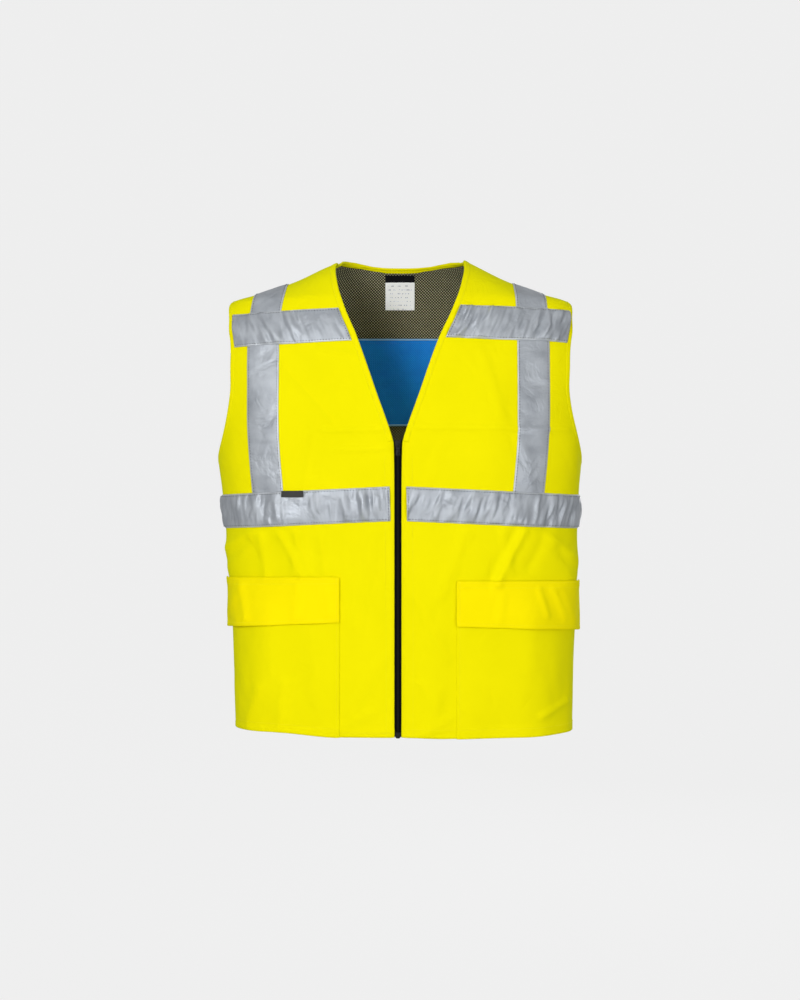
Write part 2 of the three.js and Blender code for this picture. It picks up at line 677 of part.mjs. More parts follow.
const zipPuller = (() => {
  const half = PULLER.width / 2;
  const waist = 0.8 * half;
  const bottom = BRIDGE_MID - PULLER.length + PULLER.bar / 2;
  const round = 0.3 * PULLER.width;
  const plate = [
    [-waist, BRIDGE_MID + PULLER.bar / 2],
    [-waist, BRIDGE_MID - EYE],
    [-half, bottom + round],
    [-half + round, bottom],
    [half - round, bottom],
    [half, bottom + round],
    [waist, BRIDGE_MID - EYE],
    [waist, BRIDGE_MID + PULLER.bar / 2],
  ].map(([x, z]) => [ZIP_X + x, z]);
  const slot = BRIDGE.width / 2 + GAP + 0.1;
  const eye = rectangle(ZIP_X - slot, BRIDGE_MID - EYE, ZIP_X + slot, BRIDGE_MID - PULLER.bar / 2);
  const back = -PIVOT_Y - PULLER.thickness / 2;
  const front = back + PULLER.thickness;
  return prism(plate, "y", back, front).subtract(prism(eye, "y", back - GAP, front + GAP));
})();

const zipBox = (() => {
  const half = BOX.width / 2;
  const corner = BOX.width / 4;
  const outline = [
    [-half, BOX_TOP],
    [-half, BOX_LOW + corner],
    [-half + corner, BOX_LOW],
    [half - corner, BOX_LOW],
    [half, BOX_LOW + corner],
    [half, BOX_TOP],
  ].map(([x, z]) => [ZIP_X + x, z]);
  const back = Math.max(zipFace(BOX_TOP), zipFace(BOX_LOW)) + GAP;
  return prism(outline, "y", back, back + BOX.depth);
})();

// The assembly.

const vest = new THREE.Group();

function add(name, solid, finish) {
  const { vertProperties, triVerts } = solid.getMesh();
  const geometry = new THREE.BufferGeometry();
  geometry.setAttribute("position", new THREE.BufferAttribute(vertProperties, 3));
  geometry.setIndex(new THREE.BufferAttribute(triVerts, 1));
  geometry.computeVertexNormals();
  const mesh = new THREE.Mesh(geometry, new THREE.MeshStandardMaterial(FINISHES[finish]));
  mesh.name = name;
  vest.add(mesh);
}

// The wearer's right is at -X and the left at +X.
for (const [name, side] of [["right", -1], ["left", 1]]) {
  add(`front_panel_${name}`, frontPanel(side), "yellow");
  add(`armhole_binding_${name}`, armBinding(side), "yellow");
  add(`pocket_${name}`, pocket(side), "yellow");
  add(`flap_${name}`, flap(side), "yellow");
  add(`brace_tape_${name}`, brace(side), "reflective");
  add(`chest_tape_${name}`, chestTape(CHEST_TAPES[name]), "reflective");
  add(`zip_tape_${name}`, zipTape(side), "zip_black");
}
add("back_panel", backPanel, "yellow");
add("neck_binding", neckBinding, "yellow");
add("waist_tape", waistTape, "reflective");
add("side_tag", sideTag, "tag_grey");
add("lining_mesh", lining, "mesh_black");
add("cooling_pad", coolingPad, "cooling_blue");
add("cooling_piping_top", pipingTop, "piping_blue");
add("cooling_piping_bottom", pipingLow, "piping_blue");
add("label_header", labelPiece(HEADER_LOW, LABEL_TOP), "label_black");
add("label_tab", labelPiece(HEADER_LOW - GAP - NECK_LABEL.height, HEADER_LOW - GAP), "label_white");
add("zip_coil", zipCoil, "zip_black");
add("zip_slider", zipSlider, "zip_metal");
add("zip_puller", zipPuller, "zip_metal");
add("zip_box", zipBox, "zip_black");

export default vest;
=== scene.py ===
# %% [markdown]
# # A high-visibility cooling vest
# The vest stands in the form it has when somebody wears it, with nobody in it. It is made of thin
# layers: yellow panels, grey tapes over them, pockets and flaps over those, and inside the back a
# black mesh with a blue cooling pad. We build every layer as an offset of one common body surface,
# so the layers can't cross, and let small folds run through all of them at once.
# The CAD model is loaded first and stays as it is. Every soft solid of it gets replaced by cloth.

import bmesh
import bpy
import math
import numpy as np
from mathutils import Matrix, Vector


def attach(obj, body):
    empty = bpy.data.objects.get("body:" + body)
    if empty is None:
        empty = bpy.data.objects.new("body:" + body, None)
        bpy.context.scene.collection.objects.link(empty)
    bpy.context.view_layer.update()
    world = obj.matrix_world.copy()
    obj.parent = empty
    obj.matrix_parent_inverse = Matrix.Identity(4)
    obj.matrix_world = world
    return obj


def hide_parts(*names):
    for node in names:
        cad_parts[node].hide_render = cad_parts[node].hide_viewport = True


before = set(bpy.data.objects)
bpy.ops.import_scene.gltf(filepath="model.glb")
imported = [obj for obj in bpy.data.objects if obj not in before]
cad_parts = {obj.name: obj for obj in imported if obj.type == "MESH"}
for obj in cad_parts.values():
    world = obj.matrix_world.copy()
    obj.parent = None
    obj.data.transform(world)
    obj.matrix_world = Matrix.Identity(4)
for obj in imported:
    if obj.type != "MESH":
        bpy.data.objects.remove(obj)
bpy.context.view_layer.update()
MM = 0.001

# %% [markdown]
# ## The camera
# A straight view from the front, at the height of the vest's middle. The distance of 2.8 m gives
# the mild perspective of a studio picture, and the lens follows from how large the vest is in it.

# %% Camera
CAMERA_DISTANCE = 2.8
CAMERA_HEIGHT = -0.33
camera_data = bpy.data.cameras.new("camera")
camera_data.lens = 65.7
camera = bpy.data.objects.new("camera", camera_data)
camera.location = (0, -CAMERA_DISTANCE, CAMERA_HEIGHT)
camera.rotation_euler = (math.radians(90), 0, 0)
bpy.context.collection.objects.link(camera)
bpy.context.scene.camera = camera
print("camera", tuple(camera.location), "lens", camera_data.lens)

# %% [markdown]
# ## The body surface
# A worn vest follows a chest: a flattened oval that narrows to the waist and slopes to the neck.
# We could sculpt that, but a short table of level sections is easier to change. Each row gives a
# height, a half width, the depth to the front and to the back, the exponent of the oval, where 2
# is an ellipse and more is squarer, and how far the section swings to the wearer's left.
# A smooth curve through the rows gives the section at every height between them.

# %% Sections of the body, in millimetres
SECTIONS = np.array([
    # height, half width, front, back, exponent, swing
    [-677.0, 253.5, 130.1, 118.1, 2.40, 6.50],
    [-566.8, 256.0, 131.3, 115.2, 2.40, 6.50],
    [-460.8, 262.6, 133.7, 112.1, 2.40, 5.00],
    [-371.0, 267.3, 137.1, 113.0, 2.40, 2.65],
    [-309.8, 271.5, 139.0, 117.1, 2.40, 1.35],
    [-269.0, 275.5, 140.0, 121.0, 2.40, 0.40],
    [-221.4, 277.0, 138.0, 125.5, 2.40, -0.60],
    [-169.0, 281.4, 132.0, 126.0, 2.40, -1.20],
    [-126.2, 286.8, 124.0, 125.0, 2.40, -0.60],
    [-83.4, 284.5, 113.0, 121.0, 2.38, 0.65],
    [-54.8, 273.6, 104.4, 117.1, 2.33, 0.80],
    [-31.0, 257.0, 95.1, 112.0, 2.25, 1.00],
    [-14.3, 205.5, 85.8, 107.4, 2.20, 0.80],
    [2.5, 162.0, 76.6, 101.8, 2.15, 2.20],
    [19.3, 126.5, 66.1, 94.5, 2.10, 3.20],
    [36.0, 95.0, 55.0, 85.1, 2.00, 2.50],
])
HEM_Z = -677.0
UNDERARM_Z = -269.0
TIP_Z = -31.0  # the shoulder's tip
NECK_Z = 36.0
V_DEPTH = 280.0
V_Z = NECK_Z - V_DEPTH  # the V's lowest point
ZIP_X = -3.0
HALF_CHEST = 277.5


def smooth_curve(known, values, wanted):
    """A curve through known values that never overshoots them."""
    step = np.diff(known)
    slope = np.diff(values) / step
    bend = np.zeros(len(known))
    bend[0] = slope[0]
    bend[-1] = slope[-1]
    same = slope[:-1] * slope[1:] > 0
    before = 2 * step[1:] + step[:-1]
    after = step[1:] + 2 * step[:-1]
    safe = np.where(same, slope[:-1], 1)
    next_safe = np.where(same, slope[1:], 1)
    middle = (before + after) / (before / safe + after / next_safe)
    bend[1:-1] = np.where(same, middle, 0)
    k = np.clip(np.searchsorted(known, wanted, side="right") - 1, 0, len(known) - 2)
    t = (wanted - known[k]) / step[k]
    a = (1 + 2 * t) * (1 - t) ** 2 * values[k]
    b = t * (1 - t) ** 2 * step[k] * bend[k]
    c = t * t * (3 - 2 * t) * values[k + 1]
    d = t * t * (t - 1) * step[k] * bend[k + 1]
    return a + b + c + d


LEVELS = np.linspace(HEM_Z, NECK_Z, 1427)
CURVES = [smooth_curve(SECTIONS[:, 0], SECTIONS[:, k], LEVELS) for k in range(1, 6)]


def section(z):
    """Half width, front depth, back depth, exponent and swing at heights z."""
    return [np.interp(z, LEVELS, curve) for curve in CURVES]


print("sections at", len(LEVELS), "levels; chest half width", round(float(section(-269.0)[0]), 1))

# %% [markdown]
# ## From the surface to cloth
# Two things turn the bare surface into cloth. A point is moved out along the surface's normal by
# its layer's offset, and folds add to that offset. Long folds are ridges along a line, as cloth
# makes between two points that pull on it. The restless small waves in between are sums of a few
# plane waves with fixed random directions, so the same vest comes out on every run.

# %% Normals, and points that are moved onto the surface
def outside(p):
    """Zero on the body, below zero in it."""
    width, front, back, power, swing = section(p[..., 2])
    wide = np.abs(p[..., 0] - swing) / width
    deep = np.abs(p[..., 1]) / np.where(p[..., 1] < 0, front, back)
    return wide ** power + deep ** power - 1


def slope_at(p):
    """How fast outside() grows along x, y and z."""
    step = 0.5
    slopes = []
    for axis in np.eye(3) * step:
        slopes.append((outside(p + axis) - outside(p - axis)) / (2 * step))
    return np.stack(slopes, -1)


def unit(v):
    """The same directions with a length of one."""
    return v / np.maximum(np.linalg.norm(v, axis=-1, keepdims=True), 1e-9)


def normal_at(p):
    """The direction straight out of the body."""
    return unit(slope_at(p))


def settle(p):
    """Points near the surface, moved onto it."""
    for _ in range(4):
        slope = slope_at(p)
        p = p - slope * (outside(p) / (slope ** 2).sum(-1))[..., None]
    return p


def face_at(x, z, front=True):
    """A point of the front or back, given where it is seen from the front."""
    width, ahead, behind, power, swing = section(z)
    wide = np.clip(np.abs(x - swing) / width, 0, 1)
    share = (1 - wide ** power) ** (1 / power)
    y = -ahead * share if front else behind * share
    return np.stack(np.broadcast_arrays(x, y, z), -1).astype(float)


def ring_at(turn, z, front=True):
    """A point by its turn round the section: 0 at the wearer's right seam and pi at the left."""
    width, ahead, behind, power, swing = section(z)
    along = np.cos(turn)
    across = np.abs(np.sin(turn))
    x = swing - width * np.sign(along) * np.abs(along) ** (2 / power)
    y = across ** (2 / power) * (-ahead if front else behind)
    return np.stack(np.broadcast_arrays(x, y, z), -1).astype(float)


def turn_of_x(x, z):
    """The turn at which the section has this x."""
    width, _, _, power, swing = section(z)
    share = np.clip((x - swing) / width, -1, 1)
    return np.arccos(-np.sign(share) * np.abs(share) ** (power / 2))


# %% Folds of the cloth
FOLD_STRENGTH = 1.8
LONG_FOLDS = [
    # front, x and z of both ends, height, breadth
    (True, -258, -420, -166, -356, 3.6, 28),
    (True, 255, -427, 172, -363, 3.6, 28),
    (True, -139, -278, -155, -121, -2.0, 25),
    (True, 125, -306, 139, -178, 2.0, 33),
    (True, -208, -691, -194, -520, 4.2, 33),
    (True, 200, -691, 189, -506, 3.6, 33),
    (True, 44, -691, 39, -463, 2.8, 36),
    (False, -139, -691, -117, -378, 5.6, 39),
    (False, 128, -691, 111, -349, 5.0, 39),
    (False, 0, -691, 6, -249, -4.2, 39),
    (False, -183, -306, -83, -235, 2.8, 28),
]
CREASES = [
    # on the front: x and z of both ends, height, breadth
    (-114, -229, -20, -228, 1.3, 3.6),
    (-92, -257, -20, -256, 1.1, 3.6),
    (24, -224, 248, -226, 1.2, 4.0),
    (-176, -128, -98, -214, 0.9, 7.0),
    (-150, -380, -156, -436, 1.2, 6.0),
    (-116, -384, -110, -436, 1.1, 6.0),
    (-255, -400, -214, -378, 1.6, 8.0),
    (-262, -425, -226, -392, -1.4, 7.0),
    (250, -412, 214, -382, 1.6, 8.0),
    (258, -436, 232, -402, -1.4, 7.0),
    (150, -376, 162, -436, 1.2, 7.0),
    (96, -380, 60, -470, 1.3, 9.0),
    (-40, -380, -64, -520, 1.1, 10.0),
    (120, -112, 150, -210, 0.9, 8.0),
    (-60, -120, -120, -108, 0.7, 5.0),
    (20, -470, 66, -560, 1.2, 9.0),
    (-22, -560, -72, -640, 1.1, 9.0),
    (30, -600, 70, -660, 0.9, 8.0),
    (178, -376, 142, -452, 2.4, 6.5),
    (168, -376, 128, -452, -1.4, 8.0),
    (214, -372, 190, -430, -1.2, 8.0),
    (-175, -380, -144, -441, 1.8, 6.0),
    (-152, -380, -136, -436, 1.4, 5.5),
    (-203, -380, -198, -441, 1.6, 7.0),
    (-140, -300, -128, -236, 0.8, 9.0),
    (176, -240, 190, -300, 0.8, 9.0),
    (-232, -455, -252, -500, 1.2, 8.0),
    (236, -460, 254, -512, 1.2, 8.0),
    (60, -250, 44, -300, 0.7, 7.0),
    (-40, -640, -96, -668, 0.9, 7.0),
    (84, -640, 40, -672, 0.9, 7.0),
    (202, -462, 212, -500, 1.3, 5.0),
    (224, -462, 240, -506, 1.3, 6.0),
    (148, -470, 144, -506, 0.9, 6.0),
    (-150, -458, -153, -500, 1.0, 6.0),
    (-108, -462, -104, -500, 0.9, 6.0),
    (-232, -462, -220, -505, 1.2, 6.0),
    (206, -650, 246, -632, 1.6, 6.0),
    (-176, -668, -168, -600, 1.2, 8.0),
    (-222, -662, -205, -610, 1.0, 8.0),
    (40, -668, 58, -610, 1.0, 8.0),
]


def ridge(x, z, x0, z0, x1, z1, breadth):
    """One on the line between two points, fading off it."""
    run = np.array([x1 - x0, z1 - z0], float)
    share = ((x - x0) * run[0] + (z - z0) * run[1]) / (run @ run)
    share = np.clip(share, 0, 1)
    away = np.hypot(x - x0 - share * run[0], z - z0 - share * run[1]) / breadth
    return np.exp(-away * away)


WAVES = 14
WAVE_SHARE = 1 / 4.2  # brings the sum of the waves to about one at its highest


def ripple(p, size, seed, stretch=(1, 1, 1)):
    """Restless waves of about that size, roughly from -1 to 1."""
    rng = np.random.default_rng(seed)
    total = np.zeros(p.shape[:-1])
    for _ in range(WAVES):
        way = unit(rng.normal(size=3)) / np.array(stretch)
        length = size * rng.uniform(0.8, 1.5)
        total += np.sin(p @ way * 2 * math.pi / length + rng.uniform(0, 6.28))
    return total * WAVE_SHARE


def relief(p):
    """How far folds and waves lift the cloth at points of the surface."""
    x = p[..., 0]
    z = p[..., 2]
    front = p[..., 1] < 0
    lift = np.zeros(x.shape)
    for is_front, *ends, height, breadth in LONG_FOLDS + [(True, *crease) for crease in CREASES]:
        lift += np.where(front == is_front, height * ridge(x, z, *ends, breadth), 0)
    # folds fade towards the side seams, and waves there and at the zip
    deep = np.abs(p[..., 1])
    lift *= FOLD_STRENGTH * np.clip(deep / 42, 0, 1)
    waves = 1.5 * ripple(p, 150, 3, (1, 1, 2)) + 0.75 * ripple(p, 58, 4, (1, 1, 1.8))
    calm = np.where(front, 1 - 0.8 * np.exp(-((x - ZIP_X) / 38) ** 2), 1)
    calm = calm * (0.25 + 0.75 * np.clip(deep / 60, 0, 1))
    # the neck's corner on the wearer's right sinks in a little
    corner = ((x + 97) ** 2 + deep ** 2 + (z - NECK_Z) ** 2) / 17 ** 2
    return lift + waves * calm - 5.0 * np.exp(-corner)


probe = face_at(np.linspace(-200, 200, 9), np.full(9, -300.0))
print("folds along the waist", np.round(relief(probe), 2))

# %% [markdown]
# ## Making a piece of cloth
# Cloth is a closed solid with two skins and a rounded rim, because single faces would look like
# paper from the side. A grid of points on the body and two offsets are all that a panel, a tape or
# a pocket needs. Solidify could do the same, but it can't give a hem more thickness than the rest.
# The UV map holds real metres along the cloth, so the weave has one scale on every piece. On the
# panels it counts from the middle line along each level, which keeps the threads straight.

# %% Mesh builders
PIECES = {}
RIM_BULGE = 0.45  # of the sheet's thickness


def new_object(name, points, faces, uvs):
    """A mesh object from millimetres, with its uv map in metres."""
    mesh = bpy.data.meshes.new(name)
    mesh.from_pydata((np.asarray(points) * MM).tolist(), [], [list(map(int, f)) for f in faces])
    layer = mesh.uv_layers.new(name="cloth")
    index = np.zeros(len(mesh.loops), int)
    mesh.loops.foreach_get("vertex_index", index)
    layer.data.foreach_set("uv", (np.asarray(uvs)[index] * MM).ravel())
    mesh.polygons.foreach_set("use_smooth", [True] * len(mesh.polygons))
    mesh.update()
    obj = bpy.data.objects.new(name, mesh)
    bpy.context.collection.objects.link(obj)
    PIECES[name] = obj
    return obj


def face_outward(obj):
    """Turns every face of a closed mesh outward."""
    solid = bmesh.new()
    solid.from_mesh(obj.data)
    bmesh.ops.recalc_face_normals(solid, faces=solid.faces)
    solid.to_mesh(obj.data)
    solid.free()


def distances(line):
    """How far along a line each of its points is."""
    return np.concatenate([[0], np.cumsum(np.linalg.norm(np.diff(line, axis=0), axis=-1))])


def sample(line, far, wanted):
    """Points at wanted distances, where far holds the distances of the line's own points."""
    return np.stack([np.interp(wanted, far, line[:, k]) for k in range(3)], -1)


def evenly(line, count):
    """The same line with points at equal distances."""
    far = distances(line)
    return sample(line, far, np.linspace(0, far[-1], count))


def lifted(line, height):
    """Points of the body, moved out by its folds and by some height."""
    return line + normal_at(line) * (relief(line) + height)[..., None]


def grid_lengths(grid):
    """Distances along the rows and up the middle column of a grid."""
    along = np.linalg.norm(np.diff(grid, axis=1), axis=-1)
    along = np.concatenate([np.zeros((len(grid), 1)), np.cumsum(along, 1)], 1)
    up = distances(grid[:, grid.shape[1] // 2])
    return np.stack([along, np.broadcast_to(up[:, None], along.shape)], -1)


def level_uv(grid):
    """Distances from the middle line along each level cut, and up that line, in millimetres."""
    z = grid[:, 0, 2]
    front = bool(grid[:, 1:-1, 1].mean() < 0)
    turns = np.linspace(0, math.pi, 401)
    along = []
    for x, level in zip(grid[..., 0], z):
        far = distances(ring_at(turns, np.full(len(turns), level), front))
        turn = turn_of_x(x, np.full(len(x), level))
        along.append(np.interp(turn, turns, far - far[len(turns) // 2]))
    up = distances(ring_at(np.full(len(z), math.pi / 2), z, front))
    return np.stack([np.array(along), np.broadcast_to(up[:, None], grid.shape[:2])], -1)


def two_skins(name, outer, inner, uv=None):
    """A closed sheet between two grids of points, with a rim that bulges."""
    rows, columns = outer.shape[:2]
    count = rows * columns
    place = np.arange(count).reshape(rows, columns)
    a, b = place[:-1, :-1].ravel(), place[:-1, 1:].ravel()
    c, d = place[1:, 1:].ravel(), place[1:, :-1].ravel()
    faces = [np.stack([a, b, c, d], -1), np.stack([a, d, c, b], -1) + count]
    edge = np.concatenate([place[0], place[1:, -1], place[-1, -2::-1], place[-2:0:-1, 0]])
    inside = np.concatenate([
        np.append(place[1, :-1], place[1, -2]),
        np.append(place[1:-1, -2], place[-2, -2]),
        np.append(place[-2, -2:0:-1], place[-2, 1]),
        place[-2:0:-1, 1],
    ])
    inside[0] = place[1, 1]
    flat_out = outer.reshape(-1, 3)
    flat_in = inner.reshape(-1, 3)
    middle = (flat_out[edge] + flat_in[edge]) / 2
    thick = np.linalg.norm(flat_out[edge] - flat_in[edge], axis=-1, keepdims=True)
    away = unit(middle - (flat_out[inside] + flat_in[inside]) / 2)
    rim = middle + away * thick * RIM_BULGE
    ring = 2 * count + np.arange(len(edge))
    after = np.roll(np.arange(len(edge)), -1)
    faces.append(np.stack([edge[after], edge, ring, ring[after]], -1))
    faces.append(np.stack([ring[after], ring, edge + count, edge[after] + count], -1))
    points = np.concatenate([flat_out, flat_in, rim])
    uv = (grid_lengths(outer) if uv is None else uv).reshape(-1, 2)
    uvs = np.concatenate([uv, uv, uv[edge]])
    faces = np.concatenate(faces)
    quad = points[faces[:count // 2]]
    facing = np.cross(quad[:, 2] - quad[:, 0], quad[:, 3] - quad[:, 1])
    outward = (flat_out - flat_in)[faces[:count // 2, 0]]
    if (facing * outward).sum() < 0:
        faces = faces[:, ::-1]
    new_object(name, points, faces, uvs)


def cloth(name, base, low, high, uv=None):
    """A sheet that follows the body between two offsets, which may vary over its grid."""
    normal = normal_at(base)
    lift = relief(base)
    outer = base + normal * (lift + high)[..., None]
    inner = base + normal * (lift + low)[..., None]
    two_skins(name, outer, inner, uv)
    return {"outer": outer, "inner": inner, "normal": normal, "base": base}


def skin_area(grid):
    """Area of one skin in square metres."""
    a = grid[1:, 1:] - grid[:-1, :-1]
    b = grid[1:, :-1] - grid[:-1, 1:]
    return float(np.linalg.norm(np.cross(a, b), axis=-1).sum() / 2) * MM * MM


def swept(name, rings, along, breadth, closed=False):
    """A rod through rings of points, whose uv map runs along it and round it."""
    count, around = rings.shape[:2]
    place = np.arange(count * around).reshape(count, around)
    after = np.roll(place, -1, 0)
    faces = np.stack([place, after, np.roll(after, -1, 1), np.roll(place, -1, 1)], -1)
    faces = (faces if closed else faces[:-1]).reshape(-1, 4).tolist()
    if not closed:
        faces += [place[0].tolist(), place[-1][::-1].tolist()]
    uv = np.stack(np.broadcast_arrays(along[:, None], np.linspace(0, breadth, around)[None, :]), -1)
    face_outward(new_object(name, rings.reshape(-1, 3), faces, uv.reshape(-1, 2)))


def smooth_step(low, high, value):
    """Rises smoothly from zero at low to one at high."""
    share = np.clip((value - low) / (high - low), 0, 1)
    return share * share * (3 - 2 * share)


# %% [markdown]
# ## The edges of the vest
# The neckline is a deep V in front and a shallow curve behind, and each armhole is an upright oval
# seen from the side. Both are drawn once as paths on the body. A second path at some distance from
# such an edge is found by stepping across it and settling on the body again, and the panels and
# tapes end on these second paths.

# %% Neckline and armholes
HALF_NECK = 96.0
# how far down the V, and how far out its edge is there
V_EDGE = np.array([[0, 1], [0.05, 1.01], [0.15, 0.965], [0.3, 0.82], [0.44, 0.64], [0.76, 0.31],
                   [0.96, 0.105], [1, 0.072]])
# how far the back neckline rises, from the wearer's left at -1 to the right at 1
NECK_RISE = np.array([
    [-1, -1.5], [-0.93, 2.4], [-0.8, 4.6], [-0.62, 3.2], [-0.48, 1.3], [-0.25, 0],
    [0.25, 0], [0.48, 1.3], [0.62, 3.2], [0.77, 4.9], [0.9, 4.6], [0.96, 3.0], [1, -1.5],
])


def v_side(side):
    """The V's edge on one side, from the shoulder down to the zip."""
    down = np.linspace(0, 1, 400) ** 2
    out = smooth_curve(V_EDGE[:, 0], V_EDGE[:, 1], down)
    x = side * out * HALF_NECK + ZIP_X * np.minimum(1, 2 * down) + 0.65 * (1 - np.minimum(1, 9 * down))
    fall = NECK_RISE[-1 if side < 0 else 0, 1] * np.exp(-28 * down)
    return face_at(x, NECK_Z - V_DEPTH * down + fall)


def neckline():
    """The whole neck opening, from one end of the V round the back to the other."""
    turns = np.linspace(0, math.pi, 60)[1:-1]
    rise = np.interp(np.cos(turns), NECK_RISE[:, 0], NECK_RISE[:, 1])
    behind = ring_at(turns, np.full(len(turns), NECK_Z), front=False)
    behind[:, 2] += rise
    return settle(evenly(np.concatenate([v_side(-1)[::-1], behind, v_side(1)]), 330))


def armhole(side, count=180, half_depth=72.0):
    """An upright oval on the side of the body."""
    turn = -side * np.linspace(0, 2 * math.pi, count, endpoint=False)
    y = half_depth * np.cos(turn)
    z = (TIP_Z + UNDERARM_Z) / 2 + (TIP_Z - UNDERARM_Z) / 2 * np.sin(turn)
    width, ahead, behind, power, swing = section(z)
    deep = np.abs(y) / np.where(y < 0, ahead, behind)
    return np.stack([swing + side * width * (1 - deep ** power) ** (1 / power), y, z], -1)


def step_in(path, reach, closed):
    """The path moved into the cloth by some distance."""
    if closed:
        along = np.roll(path, -1, 0) - np.roll(path, 1, 0)
    else:
        along = np.gradient(path, axis=0)
    across = unit(np.cross(normal_at(path), along))
    return settle(path + across * reach)


NECK = neckline()
print("neckline is", round(float(distances(NECK)[-1])), "mm round")


def neck_x(side, z, reach):
    """Where a line at some distance from the V's edge is, at heights z."""
    line = step_in(NECK, reach, False)
    half = line[:110] if side < 0 else line[-110:]
    half = half[half[:, 1] < 0]
    order = np.argsort(half[:, 2])
    return np.interp(z, half[order, 2], half[order, 0])


def armhole_y(side, z, reach, front):
    """How far from the side seam the cloth begins beside an armhole, at heights z."""
    line = step_in(armhole(side), reach, True)
    half = line[line[:, 1] < 0] if front else line[line[:, 1] > 0]
    order = np.argsort(half[:, 2])
    z_known = half[order, 2]
    y = np.abs(np.interp(z, z_known, half[order, 1]))
    low, high = z_known[0], z_known[-1]
    return y * smooth_step(low - 1.5, low, z) * smooth_step(high + 1.5, high, z)


def turn_of_y(y, z, front):
    """The turn, from the nearer side seam, at which the section has this y."""
    _, ahead, behind, power, _ = section(z)
    share = np.clip(y / (ahead if front else behind), 0, 1)
    return np.arcsin(share ** (power / 2))


# %% [markdown]
# ## The yellow panels
# Two fronts and one back are cut from thin woven polyester and sewn at the sides and shoulders.
# Each is a grid whose rows are level cuts, from the zip or the V's edge to the side seam or the
# armhole. Rows stand closer on the shoulders, where the cloth turns nearly flat, and at the
# underarm, where the armhole begins. The hem isn't quite level: it stands a little higher on the
# wearer's right. Its cloth is turned up and sewn, so the lowest 12 mm are thicker and pucker.

# %% Panels
PANEL = 1.5
ZIP_GAP = 5.8
HEM_BAND = 12.0
EDGE_TUCK = 2.0
NEAR_UNDERARM = np.array([-0.1, 0.2, 0.7, 1.4, 2.4, 3.6])


def row_heights(top, coarse, fine):
    """Levels from the hem up, coarse below the shoulder and fine on it."""
    low = np.arange(HEM_Z, -52, coarse)
    low = np.sort(np.append(low, UNDERARM_Z - EDGE_TUCK + NEAR_UNDERARM))
    return np.append(low, np.linspace(low[-1] + fine, top, int((top - low[-1]) / fine)))


def uneven_hem(base):
    """Lifts a grid's lower end where the hem stands higher."""
    x = base[..., 0]
    rise = 5.5 * smooth_step(-90, -190, x) - 1.6 * smooth_step(20, 70, x) + smooth_step(190, 250, x)
    fade = 1 - smooth_step(0, 130, base[..., 2] - HEM_Z)
    base[..., 2] += rise * fade
    return base


def hem_lift(base):
    """The turned-up hem, with the puckers that its seam draws."""
    z = base[..., 2] - HEM_Z
    band = 1 - smooth_step(HEM_BAND - 1.5, HEM_BAND + 1.0, z)
    pucker = ripple(base * np.array([1, 1, 0.2]), 11, 21) * np.exp(-((z - HEM_BAND) / 9) ** 2)
    return 0.6 * band + 0.5 * pucker


def between(first, last, columns, z, front=True):
    """A grid of points from one turn to another on each level."""
    turn = first[:, None] + (last - first)[:, None] * np.linspace(0, 1, columns)
    return ring_at(turn, np.broadcast_to(z[:, None], turn.shape), front)


def front_grid(side, columns=96):
    """A front's levels, from the armhole or the side seam to the V's edge or the zip."""
    z = row_heights(32.5, 3.0, 1.1)
    gap = ZIP_GAP + 1.1 * np.exp(-np.abs(V_Z - z) / 25)  # wider at the V's end
    inner_x = np.where(z > V_Z, neck_x(side, z, EDGE_TUCK), ZIP_X + side * gap)
    outer_y = armhole_y(side, z, EDGE_TUCK, True)
    inner = turn_of_x(inner_x, z)
    outer = turn_of_y(outer_y, z, True)
    if side > 0:
        outer = math.pi - outer
    return between(outer, inner, columns, z)


def back_grid(z, columns, seam=0.0):
    """The back's levels, ending at the armholes or at the side seams, or short of these."""
    right = turn_of_y(np.maximum(armhole_y(-1, z, EDGE_TUCK, False), seam), z, False)
    left = math.pi - turn_of_y(np.maximum(armhole_y(1, z, EDGE_TUCK, False), seam), z, False)
    return between(right, left, columns, z, front=False)


SIDES = {"right": -1, "left": 1}
panels = {}
for name, base in (
    ("front_panel_right", front_grid(-1)),
    ("front_panel_left", front_grid(1)),
    ("back_panel", back_grid(row_heights(33.5, 4.0, 1.5), 150)),
):
    base = uneven_hem(base)
    high = PANEL + hem_lift(base)
    panels[name] = cloth(name, base, 0 * high, high, level_uv(base))
    print(name, "has", round(skin_area(panels[name]["outer"]), 4), "square metres")

# %% [markdown]
# ## Bound edges
# A strip of the same cloth wraps the neckline and the armholes. Its cross-section is a flat U
# round the raw edge. Sweeping a drawn profile along the edge is simpler than a bevelled curve
# here, because each point of the profile can be settled on the body by itself. In front the strip
# ends flush with the panel, and inside the neck it shows as two narrow folds.

# %% Bindings
BINDING = [
    # into the cloth, and out of it
    (9.0, 1.35), (8.2, 1.75), (6.0, 1.95), (3.0, 2.05), (1.0, 1.9), (0.1, 1.2), (-0.2, 0.1),
    (0.1, -1.1), (1.0, -1.9), (2.6, -2.1), (4.1, -1.9), (4.6, -1.2), (5.1, -1.85), (7.0, -2.05),
    (8.5, -1.8), (9.0, -1.2),
]


def binding(name, path, closed, scale=1.0):
    """A folded strip round an edge of the body."""
    rings = [lifted(step_in(path, reach * scale, closed), height) for reach, height in BINDING]
    swept(name, np.stack(rings, 1), distances(path), 22, closed)


binding("neck_binding", NECK, False)
for name, side in SIDES.items():
    binding(f"armhole_binding_{name}", armhole(side), True, 8 / 9)
print("bindings made")

